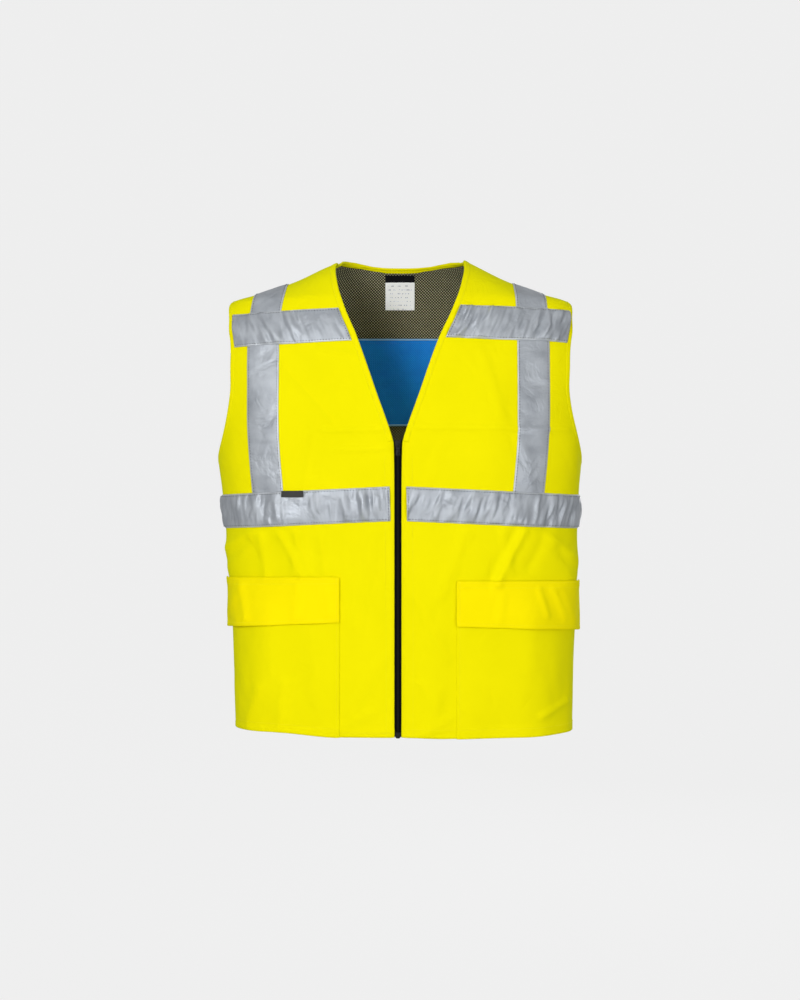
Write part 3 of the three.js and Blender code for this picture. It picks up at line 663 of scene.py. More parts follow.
# %% [markdown]
# ## Reflective tapes
# Two braces run from the waist over the shoulders and down the back. Two short tapes cross the
# chest and one long tape goes round the waist, on top of the braces. Such tape is stiff: between
# its two sewn edges it buckles into small upright creases. We displace the tape's grid by waves
# that are long across the tape and short along it, held at zero where the edges are sewn, and let
# the upper tapes climb over the braces. The waist tape stays flat where the small tag is sewn on.

# %% Brace tapes
TAPE = 0.8
TAPE_WIDTH = 50.0
TAPE_SEAT = PANEL + 0.25
BRACE_X = 200.0
# how far up a brace, and how much of its lean towards the zip it has there
BRACE_LINE = np.array([[0, 1], [0.3, 0.2], [0.7, 0], [0.88, 0.3], [1.05, 1.2]])
WAIST_TOP = -310.0
WAIST_SAG = 12.0
WAIST_LOW = WAIST_TOP - WAIST_SAG - TAPE_WIDTH
BRACE_LOW = WAIST_LOW + WAIST_SAG / 2


def brace_x(side, z):
    """Where a brace's middle line is at heights z."""
    up = (z - BRACE_LOW) / (NECK_Z - BRACE_LOW)
    lean = smooth_curve(BRACE_LINE[:, 0], BRACE_LINE[:, 1], np.clip(up, 0, 1.05))
    inward = 8 * smooth_step(0.72, 0.95, up) if side < 0 else 0
    inward = inward + 5 * smooth_step(0.4, 0, up)
    return ZIP_X + side * (BRACE_X - 7 * lean - inward)


def crinkle(along, across, seed, height, breadth):
    """Buckles of a sewn tape: along in millimetres, across from 0 to 1."""
    p = np.stack(np.broadcast_arrays(along, across * 15 + along * 0.12, across * 0), -1)
    bunch = 0.3 + 0.7 * smooth_step(-0.6, 0.7, ripple(p, 100, seed + 2))
    folds = 0.8 + ripple(p, breadth, seed) + 0.35 * ripple(p, breadth * 0.45, seed + 1)
    held = np.clip(np.sin(np.clip(across, 0, 1) * math.pi), 0, 1) ** 0.4
    small = 0.12 * (1 + ripple(p * np.array([1, 0.4, 1]), 6.5, seed + 3)) * held
    return height * (bunch * np.maximum(folds, 0) * held + small)


def tape_uv(base):
    """Distances along a tape, and across it from 0 to its width."""
    along = grid_lengths(base)[..., 0]
    across = np.linspace(0, TAPE_WIDTH, len(base))[:, None]
    return np.stack(np.broadcast_arrays(along, across), -1)


def brace_grid(side, count=330, half_width=23.5):
    """Lines along a brace, up the front, over the shoulder's ridge and down the back."""
    lines = []
    for offset in np.linspace(-half_width, half_width, 20):
        z = np.linspace(TIP_Z - 60, NECK_Z, 2000)
        beyond = section(z)[0] - np.abs(brace_x(side, z) + offset - 0.65)
        ridge_z = np.interp(0, -beyond, z)
        z = ridge_z - (ridge_z - BRACE_LOW) * np.linspace(0, 1, 700) ** 2
        x = brace_x(side, z) + offset
        line = np.concatenate([face_at(x, z)[::-1], face_at(x, z, front=False)[1:]])
        lines.append(evenly(line, count))
    return np.stack(lines, 0)


tapes = {}


def lay_tape(name, base, seed, height, breadth, climb=0.0, flat=1.0):
    """A tape with its buckles, which may climb over others and be flat in places."""
    far = grid_lengths(base)[..., 0]
    buckles = crinkle(far, np.linspace(0, 1, len(base))[:, None], seed, height, breadth)
    up = TAPE_SEAT + climb + buckles * flat
    tapes[name] = cloth(name, base, up, up + TAPE, tape_uv(base))
    print(name, "is", round(float(far[:, -1].mean())), "mm long")


for name, side in SIDES.items():
    lay_tape(f"brace_tape_{name}", brace_grid(side), 31 + side, 0.75, 34.0)

# %% Chest tapes and waist tape
# how far the inner and the outer end hang, in widths of the tape
CHEST_TAPES = {"right": (0.04, 0.18), "left": (-0.06, 0.04)}
CHEST_DROP = 80.0


def over_braces(base):
    """How far a tape climbs where it crosses a brace."""
    climb = np.zeros(base.shape[:2])
    for side in (-1, 1):
        away = np.abs(base[..., 0] - brace_x(side, base[..., 2]))
        climb = np.maximum(climb, 1 - smooth_step(23.5, 27.5, away))
    return climb * (TAPE + 0.35)


def chest_grid(name, rows=21, columns=84):
    """Lines from the V's edge to the armhole."""
    side = SIDES[name]
    inner_low, outer_low = CHEST_TAPES[name]
    slope = (outer_low - inner_low) / 0.7

    def height(x, across):
        share = np.abs(x - ZIP_X) / HALF_CHEST
        return NECK_Z - CHEST_DROP - (inner_low + slope * (share - 0.3) + across) * TAPE_WIDTH

    across = np.linspace(0, 1, rows)
    near = np.full(rows, side * 70.0)
    far = np.full(rows, side * 250.0)
    for _ in range(6):
        near = neck_x(side, height(near, across), 9.6)
        z = height(far, across)
        y = armhole_y(side, z, 8.6, True)
        width, ahead, _, power, swing = section(z)
        far = swing + side * width * (1 - (y / ahead) ** power) ** (1 / power)
    share = np.linspace(0, 1, columns)
    x = near[:, None] + (far - near)[:, None] * share
    return face_at(x, height(x, across[:, None]))


def waist_grid(rows=21, columns=620, zip_half=12.5):
    """Lines from the zip round the back to the zip, which sag towards the sides."""
    start = turn_of_x(ZIP_X - zip_half, WAIST_TOP)
    end = turn_of_x(ZIP_X + zip_half, WAIST_TOP)
    ahead = np.linspace(start, 0, 500)
    behind = np.linspace(0, math.pi, 700)[1:]
    back_ahead = np.linspace(math.pi, end, 500)[1:]
    lines = []
    for across in np.linspace(0, 1, rows):
        parts = []
        for turn, front in ((ahead, True), (behind, False), (back_ahead, True)):
            z = np.full(len(turn), WAIST_TOP - WAIST_SAG)
            for _ in range(3):
                x = ring_at(turn, z, front)[:, 0]
                share = np.clip(np.abs(x - ZIP_X) / 262, 0, 1)
                drop = WAIST_SAG * (share if front else 1)
                z = WAIST_TOP - drop - across * TAPE_WIDTH
            parts.append(ring_at(turn, z, front))
        lines.append(evenly(np.concatenate(parts), columns))
    return np.stack(lines, 0)


for name, side in SIDES.items():
    base = chest_grid(name)
    lay_tape(f"chest_tape_{name}", base, 41 + side, 4.2 + 1.4 * side, 16.0, over_braces(base))
TAG_X = ZIP_X - 153.5
base = waist_grid()
flat = 1 - 0.92 * np.exp(-((base[..., 0] - TAG_X) / 24) ** 2) * (base[..., 1] < 0)
lay_tape("waist_tape", base, 47, 3.1, 16.0, over_braces(base), flat)

# %% [markdown]
# ## Pockets and flaps
# Each front carries a patch pocket, sewn at its sides and caught in the hem, and a flap over its
# mouth. Empty pockets still stand a few millimetres off the panel. The flap is sewn along a band
# at its top and hangs free below, so it stands off more towards its lower edge, most at the
# outer corner.

# %% Pockets
POCKET_INNER = 85.5
POCKET_TOP = 222.0
POCKET_BULGE = 2.6
FLAP_TOP = {"right": 234.0, "left": 228.5}
FLAP_HEIGHT = 66.0
FLAP_FLARE = 4.6


def side_turn(side, z, inset=3.0):
    """The turn of points of the front that lie this far before the side seam."""
    turn = turn_of_y(np.full(z.shape, inset), z, True)
    return math.pi - turn if side > 0 else turn


def bulge(base):
    """How far the pocket's cloth stands off the panel."""
    x = np.abs(base[..., 0] - ZIP_X)
    inward = smooth_step(POCKET_INNER, POCKET_INNER + 45, x) * smooth_step(262, 215, x)
    up = base[..., 2] - HEM_Z
    tall = smooth_step(HEM_BAND, 70, up) * smooth_step(POCKET_TOP + 12, 150, up)
    return POCKET_BULGE * inward * (0.25 + 0.75 * tall) * smooth_step(HEM_BAND - 4, 30, up)


pockets = {}
for name, side in SIDES.items():
    z = np.linspace(HEM_Z - 1.0, HEM_Z + POCKET_TOP, 90)
    share = np.linspace(0, 1, 78)
    near = turn_of_x(np.full(z.shape, ZIP_X + side * POCKET_INNER), z)
    base = uneven_hem(between(near, side_turn(side, z), len(share), z))
    creases = 0.55 * np.abs(ripple(base, 44, 61 + side, (1, 1, 2.2))) * (bulge(base) > 0.01)
    creases *= smooth_step(0, 0.1, share) * smooth_step(1, 0.9, share)
    up = PANEL + 0.5 + bulge(base) + creases * smooth_step(HEM_BAND, 40, base[..., 2] - HEM_Z)
    hem = 0.5 * (1 - smooth_step(HEM_BAND - 1.5, HEM_BAND + 1, base[..., 2] - HEM_Z))
    pockets[name] = cloth(f"pocket_{name}", base, up, up + 1.0 + hem)
    print("pocket", name, "area", round(skin_area(pockets[name]["outer"]), 4))

# %% Flaps
def flap_grid(side, top, rows=30, columns=86):
    """Level lines that drop towards the side seam, more so at the flap's lower edge."""
    down = np.linspace(0, 1, rows)
    share = np.linspace(0, 1, columns)
    near_z = HEM_Z + top - down * FLAP_HEIGHT
    far_z = HEM_Z + top - 3.5 - down * (FLAP_HEIGHT + 8.5)
    z = near_z[:, None] + (far_z - near_z)[:, None] * share
    near = turn_of_x(ZIP_X + side * POCKET_INNER, z[:, 0])
    far = side_turn(side, z[:, -1])
    turn = near[:, None] + (far - near)[:, None] * share
    return ring_at(turn, z), down[:, None], share[None, :]


flaps = {}
for name, side in SIDES.items():
    base, down, share = flap_grid(side, FLAP_TOP[name])
    free = smooth_step(0.16, 1, down)
    flare = FLAP_FLARE * down * (0.25 + 0.75 * np.clip((share - 0.4) / 0.5, 0, 1) ** 2)
    waves = 1.6 * free * ripple(base * np.array([1, 1, 0.3]), 62, 71 + side)
    seat = PANEL + 2.1 + bulge(base) + 0.6 * smooth_step(0, 0.2, down)
    edge = 0.5 * smooth_step(0.9, 0.96, down)
    up = seat + flare + waves + free + 0.8 * (1 - smooth_step(0.1, 0.17, down))
    flaps[name] = cloth(f"flap_{name}", base, up, up + 1.3 + edge)
    print("flap", name, "area", round(skin_area(flaps[name]["outer"]), 4))

# %% [markdown]
# ## Inside the back
# Behind the V the picture shows what makes this a cooling vest: a black mesh lining, and on it a
# quilted blue pad with piped edges that holds water. The pad is crowned, thin at its sewn edges
# and thicker in the middle. The label under the neck is a white strip below a black one. The
# lining follows the uneven hem and ends a little above it.

# %% Lining and cooling pad
LINING_IN = -1.3
base = uneven_hem(back_grid(row_heights(33.0, 4.5, 1.7), 132, seam=2.0))
base[..., 2] += 8 * (1 - smooth_step(0, 130, base[..., 2] - HEM_Z))
low = np.full(base.shape[:2], LINING_IN)
lining = cloth("lining_mesh", base, low, low + 1.0, level_uv(base))
print("lining area", round(skin_area(lining["outer"]), 4))

PAD_TOP = NECK_Z - 108
PAD_LOW = PAD_TOP - 140
PAD_HALF = 170.0
PAD_OUT = -1.5


def inside_grid(half_width, low, high, rows, columns):
    """A rectangle on the back, as seen from the front."""
    x = np.linspace(-half_width, half_width, columns)
    z = np.linspace(low, high, rows)
    return face_at(*np.meshgrid(x, z), front=False)


base = inside_grid(PAD_HALF, PAD_LOW + 2.2, PAD_TOP - 2.2, 60, 140)
u = np.linspace(-1, 1, 140)[None, :]
v = np.linspace(-1, 1, 60)[:, None]
crown = ((1 - np.abs(u) ** 10) * (1 - np.abs(v) ** 4)) ** 0.5
dents = 0.5 * ripple(base, 38, 81) + 0.25 * ripple(base, 17, 82)
thick = 1.0 + crown * (2.6 + dents)
pad = cloth("cooling_pad", base, PAD_OUT - thick, np.full(base.shape[:2], PAD_OUT))
print("pad is", round(float(thick.max()), 1), "mm thick in the middle")


def piping(name, z):
    """A round cord across an edge of the pad."""
    x = np.linspace(-PAD_HALF, PAD_HALF, 150)
    line = face_at(x, np.full(len(x), z), front=False)
    rings = []
    for turn in np.linspace(0, 2 * math.pi, 10, endpoint=False):
        ring = lifted(line, -3.4 + 1.85 * math.cos(turn))
        ring[:, 2] += 1.6 * math.sin(turn)
        rings.append(ring)
    swept(name, np.stack(rings, 1), x, 11)


piping("cooling_piping_top", PAD_TOP - 1.5)
piping("cooling_piping_bottom", PAD_LOW + 1.5)

# %% Neck label and the small tag on the waist tape
def label(name, low, high, rows, curl):
    """A strip below the neck that hangs free of the lining towards its lower end."""
    base = inside_grid(23, low, high, rows, 40)
    down = np.linspace(1, 0, rows)[:, None]
    hang = curl * down ** 2 * (1 + 0.25 * np.cos(np.linspace(-1.5, 1.5, 40))[None, :])
    top = -1.6 - hang
    cloth(name, base, top - 0.6, top)


label("label_header", 15.5, 26.0, 8, 0.1)
label("label_tab", -26.8, 15.2, 26, 1.6)
x = np.linspace(TAG_X - 16, TAG_X + 16, 26)
z = np.linspace(WAIST_TOP - 15.6, WAIST_TOP - 6.6, 8)
base = face_at(*np.meshgrid(x, z))
top = np.full(base.shape[:2], TAPE_SEAT + 2 * TAPE + 0.75)
cloth("side_tag", base, top, top + 0.5)
print("label and tag made")

# %% [markdown]
# ## The zip
# The zip is black: two woven tapes behind the fronts, a coil of teeth between them, a slider with
# a hanging puller, and a box at the hem. The coil is a row of small arched teeth that grip from
# both sides in turn. The hard parts keep their CAD shape, and only get rounded edges, because a
# die-cast slider has no knife edges.

# %% Zip tapes and coil
SLIDER_TOP = V_Z + 1
ZIP_TAPE_REACH = 14.0
for name, side in SIDES.items():
    z = np.linspace(HEM_Z + 1, SLIDER_TOP, 150)
    x = np.linspace(ZIP_X + side * 0.3, ZIP_X + side * ZIP_TAPE_REACH, 14)
    base = face_at(*np.meshgrid(x, z))
    low = np.full(base.shape[:2], -1.0)
    cloth(f"zip_tape_{name}", base, low, low + 0.7)

TOOTH_PITCH = 1.25
# rings of a tooth: how far out of the zip's middle, and shares of its height and its depth
TOOTH_RINGS = np.array([[-1.0, 0.55, 0.6], [0.2, 1.0, 0.95], [1.3, 0.95, 0.9], [2.0, 0.45, 0.55]])
TOOTH_CORNERS = np.array([[-0.42, -0.5], [0.42, -0.5], [0.42, 0.5], [-0.42, 0.5]])


def teeth(low, high):
    """Arched teeth that grip from both sides in turn."""
    z = np.arange(low, high, TOOTH_PITCH)
    y = lifted(face_at(np.full(len(z), ZIP_X), z), 0)[:, 1]
    side = np.where(np.arange(len(z)) % 2, 1, -1)
    points = np.zeros((len(z), 4, 4, 3))
    points[..., 0] = (ZIP_X + side[:, None] * TOOTH_RINGS[:, 0])[..., None]
    points[..., 1] = y[:, None, None] - 0.55 - 1.15 * TOOTH_RINGS[:, 2:] * TOOTH_CORNERS[:, 1]
    points[..., 2] = z[:, None, None] + 1.2 * TOOTH_RINGS[:, 1:2] * TOOTH_CORNERS[:, 0]
    faces = [[0, 3, 2, 1], [12, 13, 14, 15]]
    for k in range(12):
        after = k // 4 * 4 + (k + 1) % 4
        faces.append([k, after, after + 4, k + 4])
    faces = (np.array(faces) + 16 * np.arange(len(z))[:, None, None]).reshape(-1, 4)
    points = points.reshape(-1, 3)
    face_outward(new_object("zip_coil", points, faces, points[:, [0, 2]]))
    return len(z)


print("zip has", teeth(HEM_Z + 8.5, SLIDER_TOP - 12.5), "teeth")

# %% Slider, puller and box from their CAD shapes
def softened(name, width, sharp_angle=0.4):
    """A copy of a CAD solid with its edges rounded."""
    solid = bmesh.new()
    solid.from_mesh(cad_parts[name].data)
    bmesh.ops.remove_doubles(solid, verts=solid.verts, dist=1e-6)
    bmesh.ops.dissolve_limit(solid, angle_limit=0.02, verts=solid.verts, edges=solid.edges)
    sharp = [e for e in solid.edges if len(e.link_faces) == 2 and e.calc_face_angle() > sharp_angle]
    bmesh.ops.bevel(solid, geom=sharp, offset=width, segments=3, profile=0.6, affect="EDGES",
                    clamp_overlap=True)
    bmesh.ops.triangulate(solid, faces=[f for f in solid.faces if len(f.verts) > 4])
    mesh = bpy.data.meshes.new(name)
    solid.to_mesh(mesh)
    solid.free()
    mesh.polygons.foreach_set("use_smooth", [True] * len(mesh.polygons))
    mesh.set_sharp_from_angle(angle=math.radians(38))
    layer = mesh.uv_layers.new(name="cloth")
    for loop in mesh.loops:
        x, y, z = mesh.vertices[loop.vertex_index].co
        layer.data[loop.index].uv = (x + y, z)
    obj = bpy.data.objects.new(f"{name}_rounded", mesh)
    bpy.context.collection.objects.link(obj)
    PIECES[name] = obj
    return obj


for name, width in (("zip_slider", 0.0003), ("zip_puller", 0.0003), ("zip_box", 0.0005)):
    print(name, "has", len(softened(name, width).data.polygons), "faces")

# %% [markdown]
# ## Stitching
# Rows of thread hold all of this together, and at this distance they read as fine dotted lines
# along each tape, flap and hem. A texture could only paint them, so each stitch is a small bead
# of geometry, drawn out along its seam. One object holds all the stitches of one colour.

# %% Stitches
BEAD = np.array([[0, 1, 4], [1, 2, 4], [2, 3, 4], [3, 0, 4], [1, 0, 5], [2, 1, 5], [3, 2, 5], [0, 3, 5]])


def sew(name, runs, pitch=3.0, length=2.2, width=0.55, height=0.3):
    """One object with a bead for every stitch along lines of points with normals."""
    points = []
    for line, normal in runs:
        far = distances(line)
        wanted = np.arange(pitch / 2, far[-1], pitch)
        if len(wanted) < 2:
            continue
        out = unit(sample(normal, far, wanted))
        middle = sample(line, far, wanted)
        along = unit(np.gradient(middle, axis=0))
        side = np.cross(out, along)
        middle = middle + out * 0.1
        points.append(np.stack([
            middle - along * length / 2,
            middle - side * width / 2,
            middle + along * length / 2,
            middle + side * width / 2,
            middle + out * height,
            middle - out * height,
        ], 1))
    points = np.concatenate(points)
    faces = (BEAD + 6 * np.arange(len(points))[:, None, None]).reshape(-1, 3)
    print(name, "has", len(points), "stitches")
    points = points.reshape(-1, 3)
    new_object(name, points, faces, points[:, [0, 2]])


def row_of(piece, row):
    """A run along a row of a piece's outer skin."""
    return piece["outer"][row], piece["normal"][row]


def column_of(piece, column, start=0, end=None):
    """A run up a column of a piece's outer skin."""
    return piece["outer"][start:end, column], piece["normal"][start:end, column]


def edge_run(path, reach, closed, height):
    """A run at some distance from an edge."""
    line = step_in(path, reach, closed)
    return lifted(line, height), normal_at(line)


def level_run(piece, height):
    """A run along a piece at some height above the hem."""
    z = piece["base"][:, 0, 2] - HEM_Z
    row = int(np.argmin(np.abs(z - height)))
    return row_of(piece, row)


tape_runs = []
for piece in tapes.values():
    tape_runs += [row_of(piece, 1), row_of(piece, -2)]
for name in SIDES:
    tape_runs.append(column_of(tapes[f"chest_tape_{name}"], 1))
tape_runs += [column_of(tapes["waist_tape"], 1), column_of(tapes["waist_tape"], -2)]
sew("tape_stitching", tape_runs, pitch=4.3, length=3.0, width=1.5, height=0.45)

yellow_runs = []
for name, side in SIDES.items():
    panel, pocket, flap = panels[f"front_panel_{name}"], pockets[name], flaps[name]
    yellow_runs += [level_run(panel, HEM_BAND - 1.5), level_run(pocket, HEM_BAND - 1.5)]
    yellow_runs += [column_of(panel, -3, 0, 143)]
    yellow_runs += [column_of(pocket, 1, 6, 70), column_of(pocket, -2, 6, 70)]
    yellow_runs += [row_of(flap, 1), row_of(flap, 4), row_of(flap, -3)]
    yellow_runs += [column_of(flap, 1), column_of(flap, -2)]
    yellow_runs.append(edge_run(armhole(side), 6.6, True, 2.0))
yellow_runs.append(level_run(panels["back_panel"], HEM_BAND - 1.5))
yellow_runs.append(edge_run(NECK[4:-4], 7.6, False, 1.8))
sew("yellow_stitching", yellow_runs)

pad_runs = []
for row in (2, -3):
    pad_runs.append((pad["inner"][row], -pad["normal"][row]))
for column in (2, -3):
    pad_runs.append((pad["inner"][:, column], -pad["normal"][:, column]))
sew("pad_stitching", pad_runs, pitch=3.2)

# %% [markdown]
# ## Materials
# Three effects serve several finishes, so each is a node group that is built once: the weave of
# threads, the fine crumple of handled cloth, and the slow drift of colour that dye and dust give,
# which on the tapes is painted light and shade.
# A group puts out only heights, masks and colours. The shader itself stays in each material.

# %% Node helpers
def feed(tree, node, inputs):
    """Gives each of these inputs of a node a socket to link, or a value."""
    for key, value in inputs.items():
        if isinstance(value, bpy.types.NodeSocket):
            tree.links.new(value, node.inputs[key])
        else:
            node.inputs[key].default_value = value
    return node


def new_node(tree, kind, inputs):
    """A node of some kind with its inputs fed."""
    return feed(tree, tree.nodes.new(f"ShaderNode{kind}"), inputs)


def new_group(name, inputs, outputs):
    """A shader group with its sockets, the outputs of its input node, and its output node."""
    group = bpy.data.node_groups.new(name, "ShaderNodeTree")
    for title, kind, value in inputs:
        socket = group.interface.new_socket(title, in_out="INPUT", socket_type=kind)
        if value is not None:
            socket.default_value = value
    for title, kind in outputs:
        group.interface.new_socket(title, in_out="OUTPUT", socket_type=kind)
    return group, group.nodes.new("NodeGroupInput").outputs, group.nodes.new("NodeGroupOutput")


def math_node(tree, operation, *values):
    """The result of an operation on sockets or numbers."""
    node = tree.nodes.new("ShaderNodeMath")
    node.operation = operation
    return feed(tree, node, dict(enumerate(values))).outputs[0]


def mix_colour(tree, mask, first, second):
    """The first colour where the mask is zero, and the second where it is one."""
    node = tree.nodes.new("ShaderNodeMix")
    node.data_type = "RGBA"
    return feed(tree, node, {0: mask, 6: first, 7: second}).outputs[2]


def share_of(tree, value, low, high):
    """How far the value is from low to high, between zero and one."""
    inputs = {"Value": value, "From Min": low, "From Max": high}
    return new_node(tree, "MapRange", inputs).outputs["Result"]


def noise_node(tree, place, scale, detail, rough=0.55, distortion=0.0):
    """Smooth noise between zero and one."""
    inputs = {"Vector": place, "Scale": scale, "Detail": detail, "Roughness": rough}
    inputs["Distortion"] = distortion
    return new_node(tree, "TexNoise", inputs).outputs["Fac"]


FLOAT = "NodeSocketFloat"
VECTOR = "NodeSocketVector"
COLOR = "NodeSocketColor"

# %% [markdown]
# **Weave.** Threads that cross over and under look like a fine chequer of bumps. Two sine waves,
# one along each direction of the uv map, make it: their product is high where a warp thread lies
# on top and low where a weft thread does. A turn of the map gives a diagonal weave.

# %% Weave group
def make_weave():
    group, given, out = new_group(
        "Weave",
        [("Cloth", VECTOR, None), ("Threads per metre", FLOAT, 1600.0), ("Turn", FLOAT, 0.0)],
        [("Height", FLOAT), ("Gap", FLOAT)],
    )
    turned = group.nodes.new("ShaderNodeVectorRotate")
    turned.rotation_type = "Z_AXIS"
    feed(group, turned, {"Vector": given["Cloth"], "Angle": given["Turn"]})
    axes = new_node(group, "SeparateXYZ", {0: turned.outputs[0]}).outputs
    turns = math_node(group, "MULTIPLY", given["Threads per metre"], math.pi)
    waves = [math_node(group, "SINE", math_node(group, "MULTIPLY", axes[axis], turns)) for axis in "XY"]
    chequer = math_node(group, "MULTIPLY", *waves)
    solid = math_node(group, "MULTIPLY", *[math_node(group, "ABSOLUTE", wave) for wave in waves])
    feed(group, out, {
        "Height": math_node(group, "MULTIPLY_ADD", chequer, 0.5, 0.5),
        "Gap": math_node(group, "SUBTRACT", 1.0, solid),
    })
    return group


WEAVE = make_weave()

# %% [markdown]
# **Crumple.** Cloth that has been folded and worn keeps a faint net of creases a few centimetres
# apart. Noise whose middle value is drawn as a ridge gives such a net, and a finer noise under it
# breaks it up. The group puts out one height, to be added to the weave.

# %% Crumple group
def make_crumple():
    group, given, out = new_group(
        "Crumple",
        [("Place", VECTOR, None), ("Size", FLOAT, 30.0), ("Sharpness", FLOAT, 0.6)],
        [("Height", FLOAT)],
    )
    noise = noise_node(group, given["Place"], given["Size"], 4.0, 0.5, 0.6)
    ridge_line = math_node(group, "ABSOLUTE", math_node(group, "SUBTRACT", noise, 0.5))
    sharp = math_node(group, "MULTIPLY", ridge_line, given["Sharpness"])
    feed(group, out, {"Height": math_node(group, "SUBTRACT", noise, sharp)})
    return group


CRUMPLE = make_crumple()

# %% [markdown]
# ** Drift.** Dye is never quite even, and handled cloth picks up a little dust. The group mixes
# the cloth's colour towards a second one by slow noise, and puts out a mask that makes the same
# places rougher. On the reflective tapes the second colour is lighter, and there the patches are
# painted light and shade that stand for the bright and dark of the tape's crinkles.

# %% Drift group
def make_drift():
    group, given, out = new_group(
        "Drift",
        [("Place", VECTOR, None), ("Colour", COLOR, (1, 1, 1, 1)), ("Worn and sheen colour", COLOR, (1, 1, 1, 1)),
         ("Size", FLOAT, 9.0), ("Amount", FLOAT, 0.3), ("Roughness", FLOAT, 0.7)],
        [("Colour", COLOR), ("Roughness", FLOAT)],
    )
    slow = noise_node(group, given["Place"], given["Size"], 5.0, 0.6)
    mask = math_node(group, "MULTIPLY", share_of(group, slow, 0.35, 0.7), given["Amount"])
    rougher = math_node(group, "MULTIPLY", mask, 0.25)
    feed(group, out, {
        "Colour": mix_colour(group, mask, given["Colour"], given["Worn and sheen colour"]),
        "Roughness": math_node(group, "ADD", given["Roughness"], rougher),
    })
    return group


DRIFT = make_drift()
print("groups:", [group.name for group in (WEAVE, CRUMPLE, DRIFT)])

# %% [markdown]
# ** A cloth material.** Every fabric here is the same sum: drift gives its colour and roughness,
# weave and crumple give the height of one bump node, and each fabric brings its own numbers. The
# gaps between threads are a little darker than the threads. Painted shade turns the yellow darker
# and greener where it is seen at a grazing angle, as at the sides, the tapes have pale sewn borders,
# and the label has rows of plain marks. The flaps get a lighter, warmer copy of the yellow: painted
# light for the second layer of cloth that lies over the pockets. Emission on several cloths is
# painted light too.

# %% Cloth materials
def start_material(name):
    """An empty material with its shader."""
    material = bpy.data.materials.new(name)
    material.use_nodes = True
    tree = material.node_tree
    tree.nodes.clear()
    shader = tree.nodes.new("ShaderNodeBsdfPrincipled")
    new_node(tree, "OutputMaterial", {0: shader.outputs[0]})
    return material, tree, shader


def places(tree):
    """Object coordinates, and the uv map in metres along the cloth."""
    uv = tree.nodes.new("ShaderNodeUVMap")
    uv.uv_map = "cloth"
    return tree.nodes.new("ShaderNodeTexCoord").outputs["Object"], uv.outputs[0]


def use_group(tree, group, inputs):
    """The outputs of a node group in a material."""
    node = tree.nodes.new("ShaderNodeGroup")
    node.node_tree = group
    return feed(tree, node, inputs).outputs


def bump(tree, height, distance):
    """A normal from a height, with the depth in metres that a height of one has."""
    return new_node(tree, "Bump", {"Height": height, "Distance": distance}).outputs[0]


def border_mask(tree, uv):
    """Half on the two sewn borders of a tape, which are the first and last 2.4 mm across it."""
    across = new_node(tree, "SeparateXYZ", {0: uv}).outputs["Y"]
    away = math_node(tree, "ABSOLUTE", math_node(tree, "SUBTRACT", across, 0.025))
    return math_node(tree, "MULTIPLY", math_node(tree, "GREATER_THAN", away, 0.0226), 0.5)


def print_mask(tree, uv):
    """Short plain grey marks in rows."""
    axes = new_node(tree, "SeparateXYZ", {0: uv}).outputs
    rows = math_node(tree, "SINE", math_node(tree, "MULTIPLY", axes["Y"], 2 * math.pi / 0.0062))
    squeezed = new_node(tree, "Mapping", {"Vector": uv, "Scale": (1.0, 0.35, 1.0)}).outputs[0]
    spots = math_node(tree, "GREATER_THAN", noise_node(tree, squeezed, 420.0, 1.0), 0.53)
    away = math_node(tree, "ABSOLUTE", math_node(tree, "SUBTRACT", axes["X"], 0.023))
    marks = math_node(tree, "MULTIPLY", math_node(tree, "GREATER_THAN", rows, 0.45), spots)
    marks = math_node(tree, "MULTIPLY", marks, math_node(tree, "LESS_THAN", away, 0.0185))
    return math_node(tree, "MULTIPLY", marks, 0.5)


CREASE_SIZE = 26.0
CLOTH_BUMP = 0.0006


def cloth_material(name, colour, worn_and_sheen, threads, roughness, turn=0.0, weave=0.35, crumple=1.0,
                   amount=0.35, gap=0.12, sheen=0.0, painted_glow=0.0, metal=0.0, gloss=0.3, patches=9.0,
                   border=None, painted_slant_shade=None, marks=None):
    material, tree, shader = start_material(name)
    place, uv = places(tree)
    drift = use_group(tree, DRIFT, {
        "Place": place, "Colour": (*colour, 1), "Worn and sheen colour": (*worn_and_sheen, 1), "Amount": amount,
        "Roughness": roughness, "Size": patches})
    woven = use_group(tree, WEAVE, {"Cloth": uv, "Threads per metre": threads, "Turn": turn})
    creased = use_group(tree, CRUMPLE, {"Place": place, "Size": CREASE_SIZE})
    dark = (*(0.35 * v for v in colour), 1)
    look = mix_colour(tree, math_node(tree, "MULTIPLY", woven["Gap"], gap), drift["Colour"], dark)
    if border:
        look = mix_colour(tree, border_mask(tree, uv), look, (*border, 1))
    if marks:
        look = mix_colour(tree, print_mask(tree, uv), look, (*marks, 1))
    # Painted shade: the yellow turns darker and greener where the cloth is seen at a grazing angle, as
    # at its sides.
    if painted_slant_shade:
        facing = new_node(tree, "LayerWeight", {"Blend": 0.5}).outputs["Facing"]
        look = mix_colour(tree, math_node(tree, "POWER", facing, 1.5), look, (*painted_slant_shade, 1))
    height = math_node(tree, "MULTIPLY", woven["Height"], weave)
    crumpled = math_node(tree, "MULTIPLY", creased["Height"], crumple * 6)
    feed(tree, shader, {
        "Base Color": look,
        "Roughness": drift["Roughness"],
        "Normal": bump(tree, math_node(tree, "ADD", height, crumpled), CLOTH_BUMP),
        "Sheen Weight": sheen,
        "Metallic": metal,
        "Specular IOR Level": gloss,
    })
    # Painted light: emission in the cloth's own colour brightens it in light and shade alike.
    if painted_glow:
        feed(tree, shader, {"Emission Color": look, "Emission Strength": painted_glow})
    return material
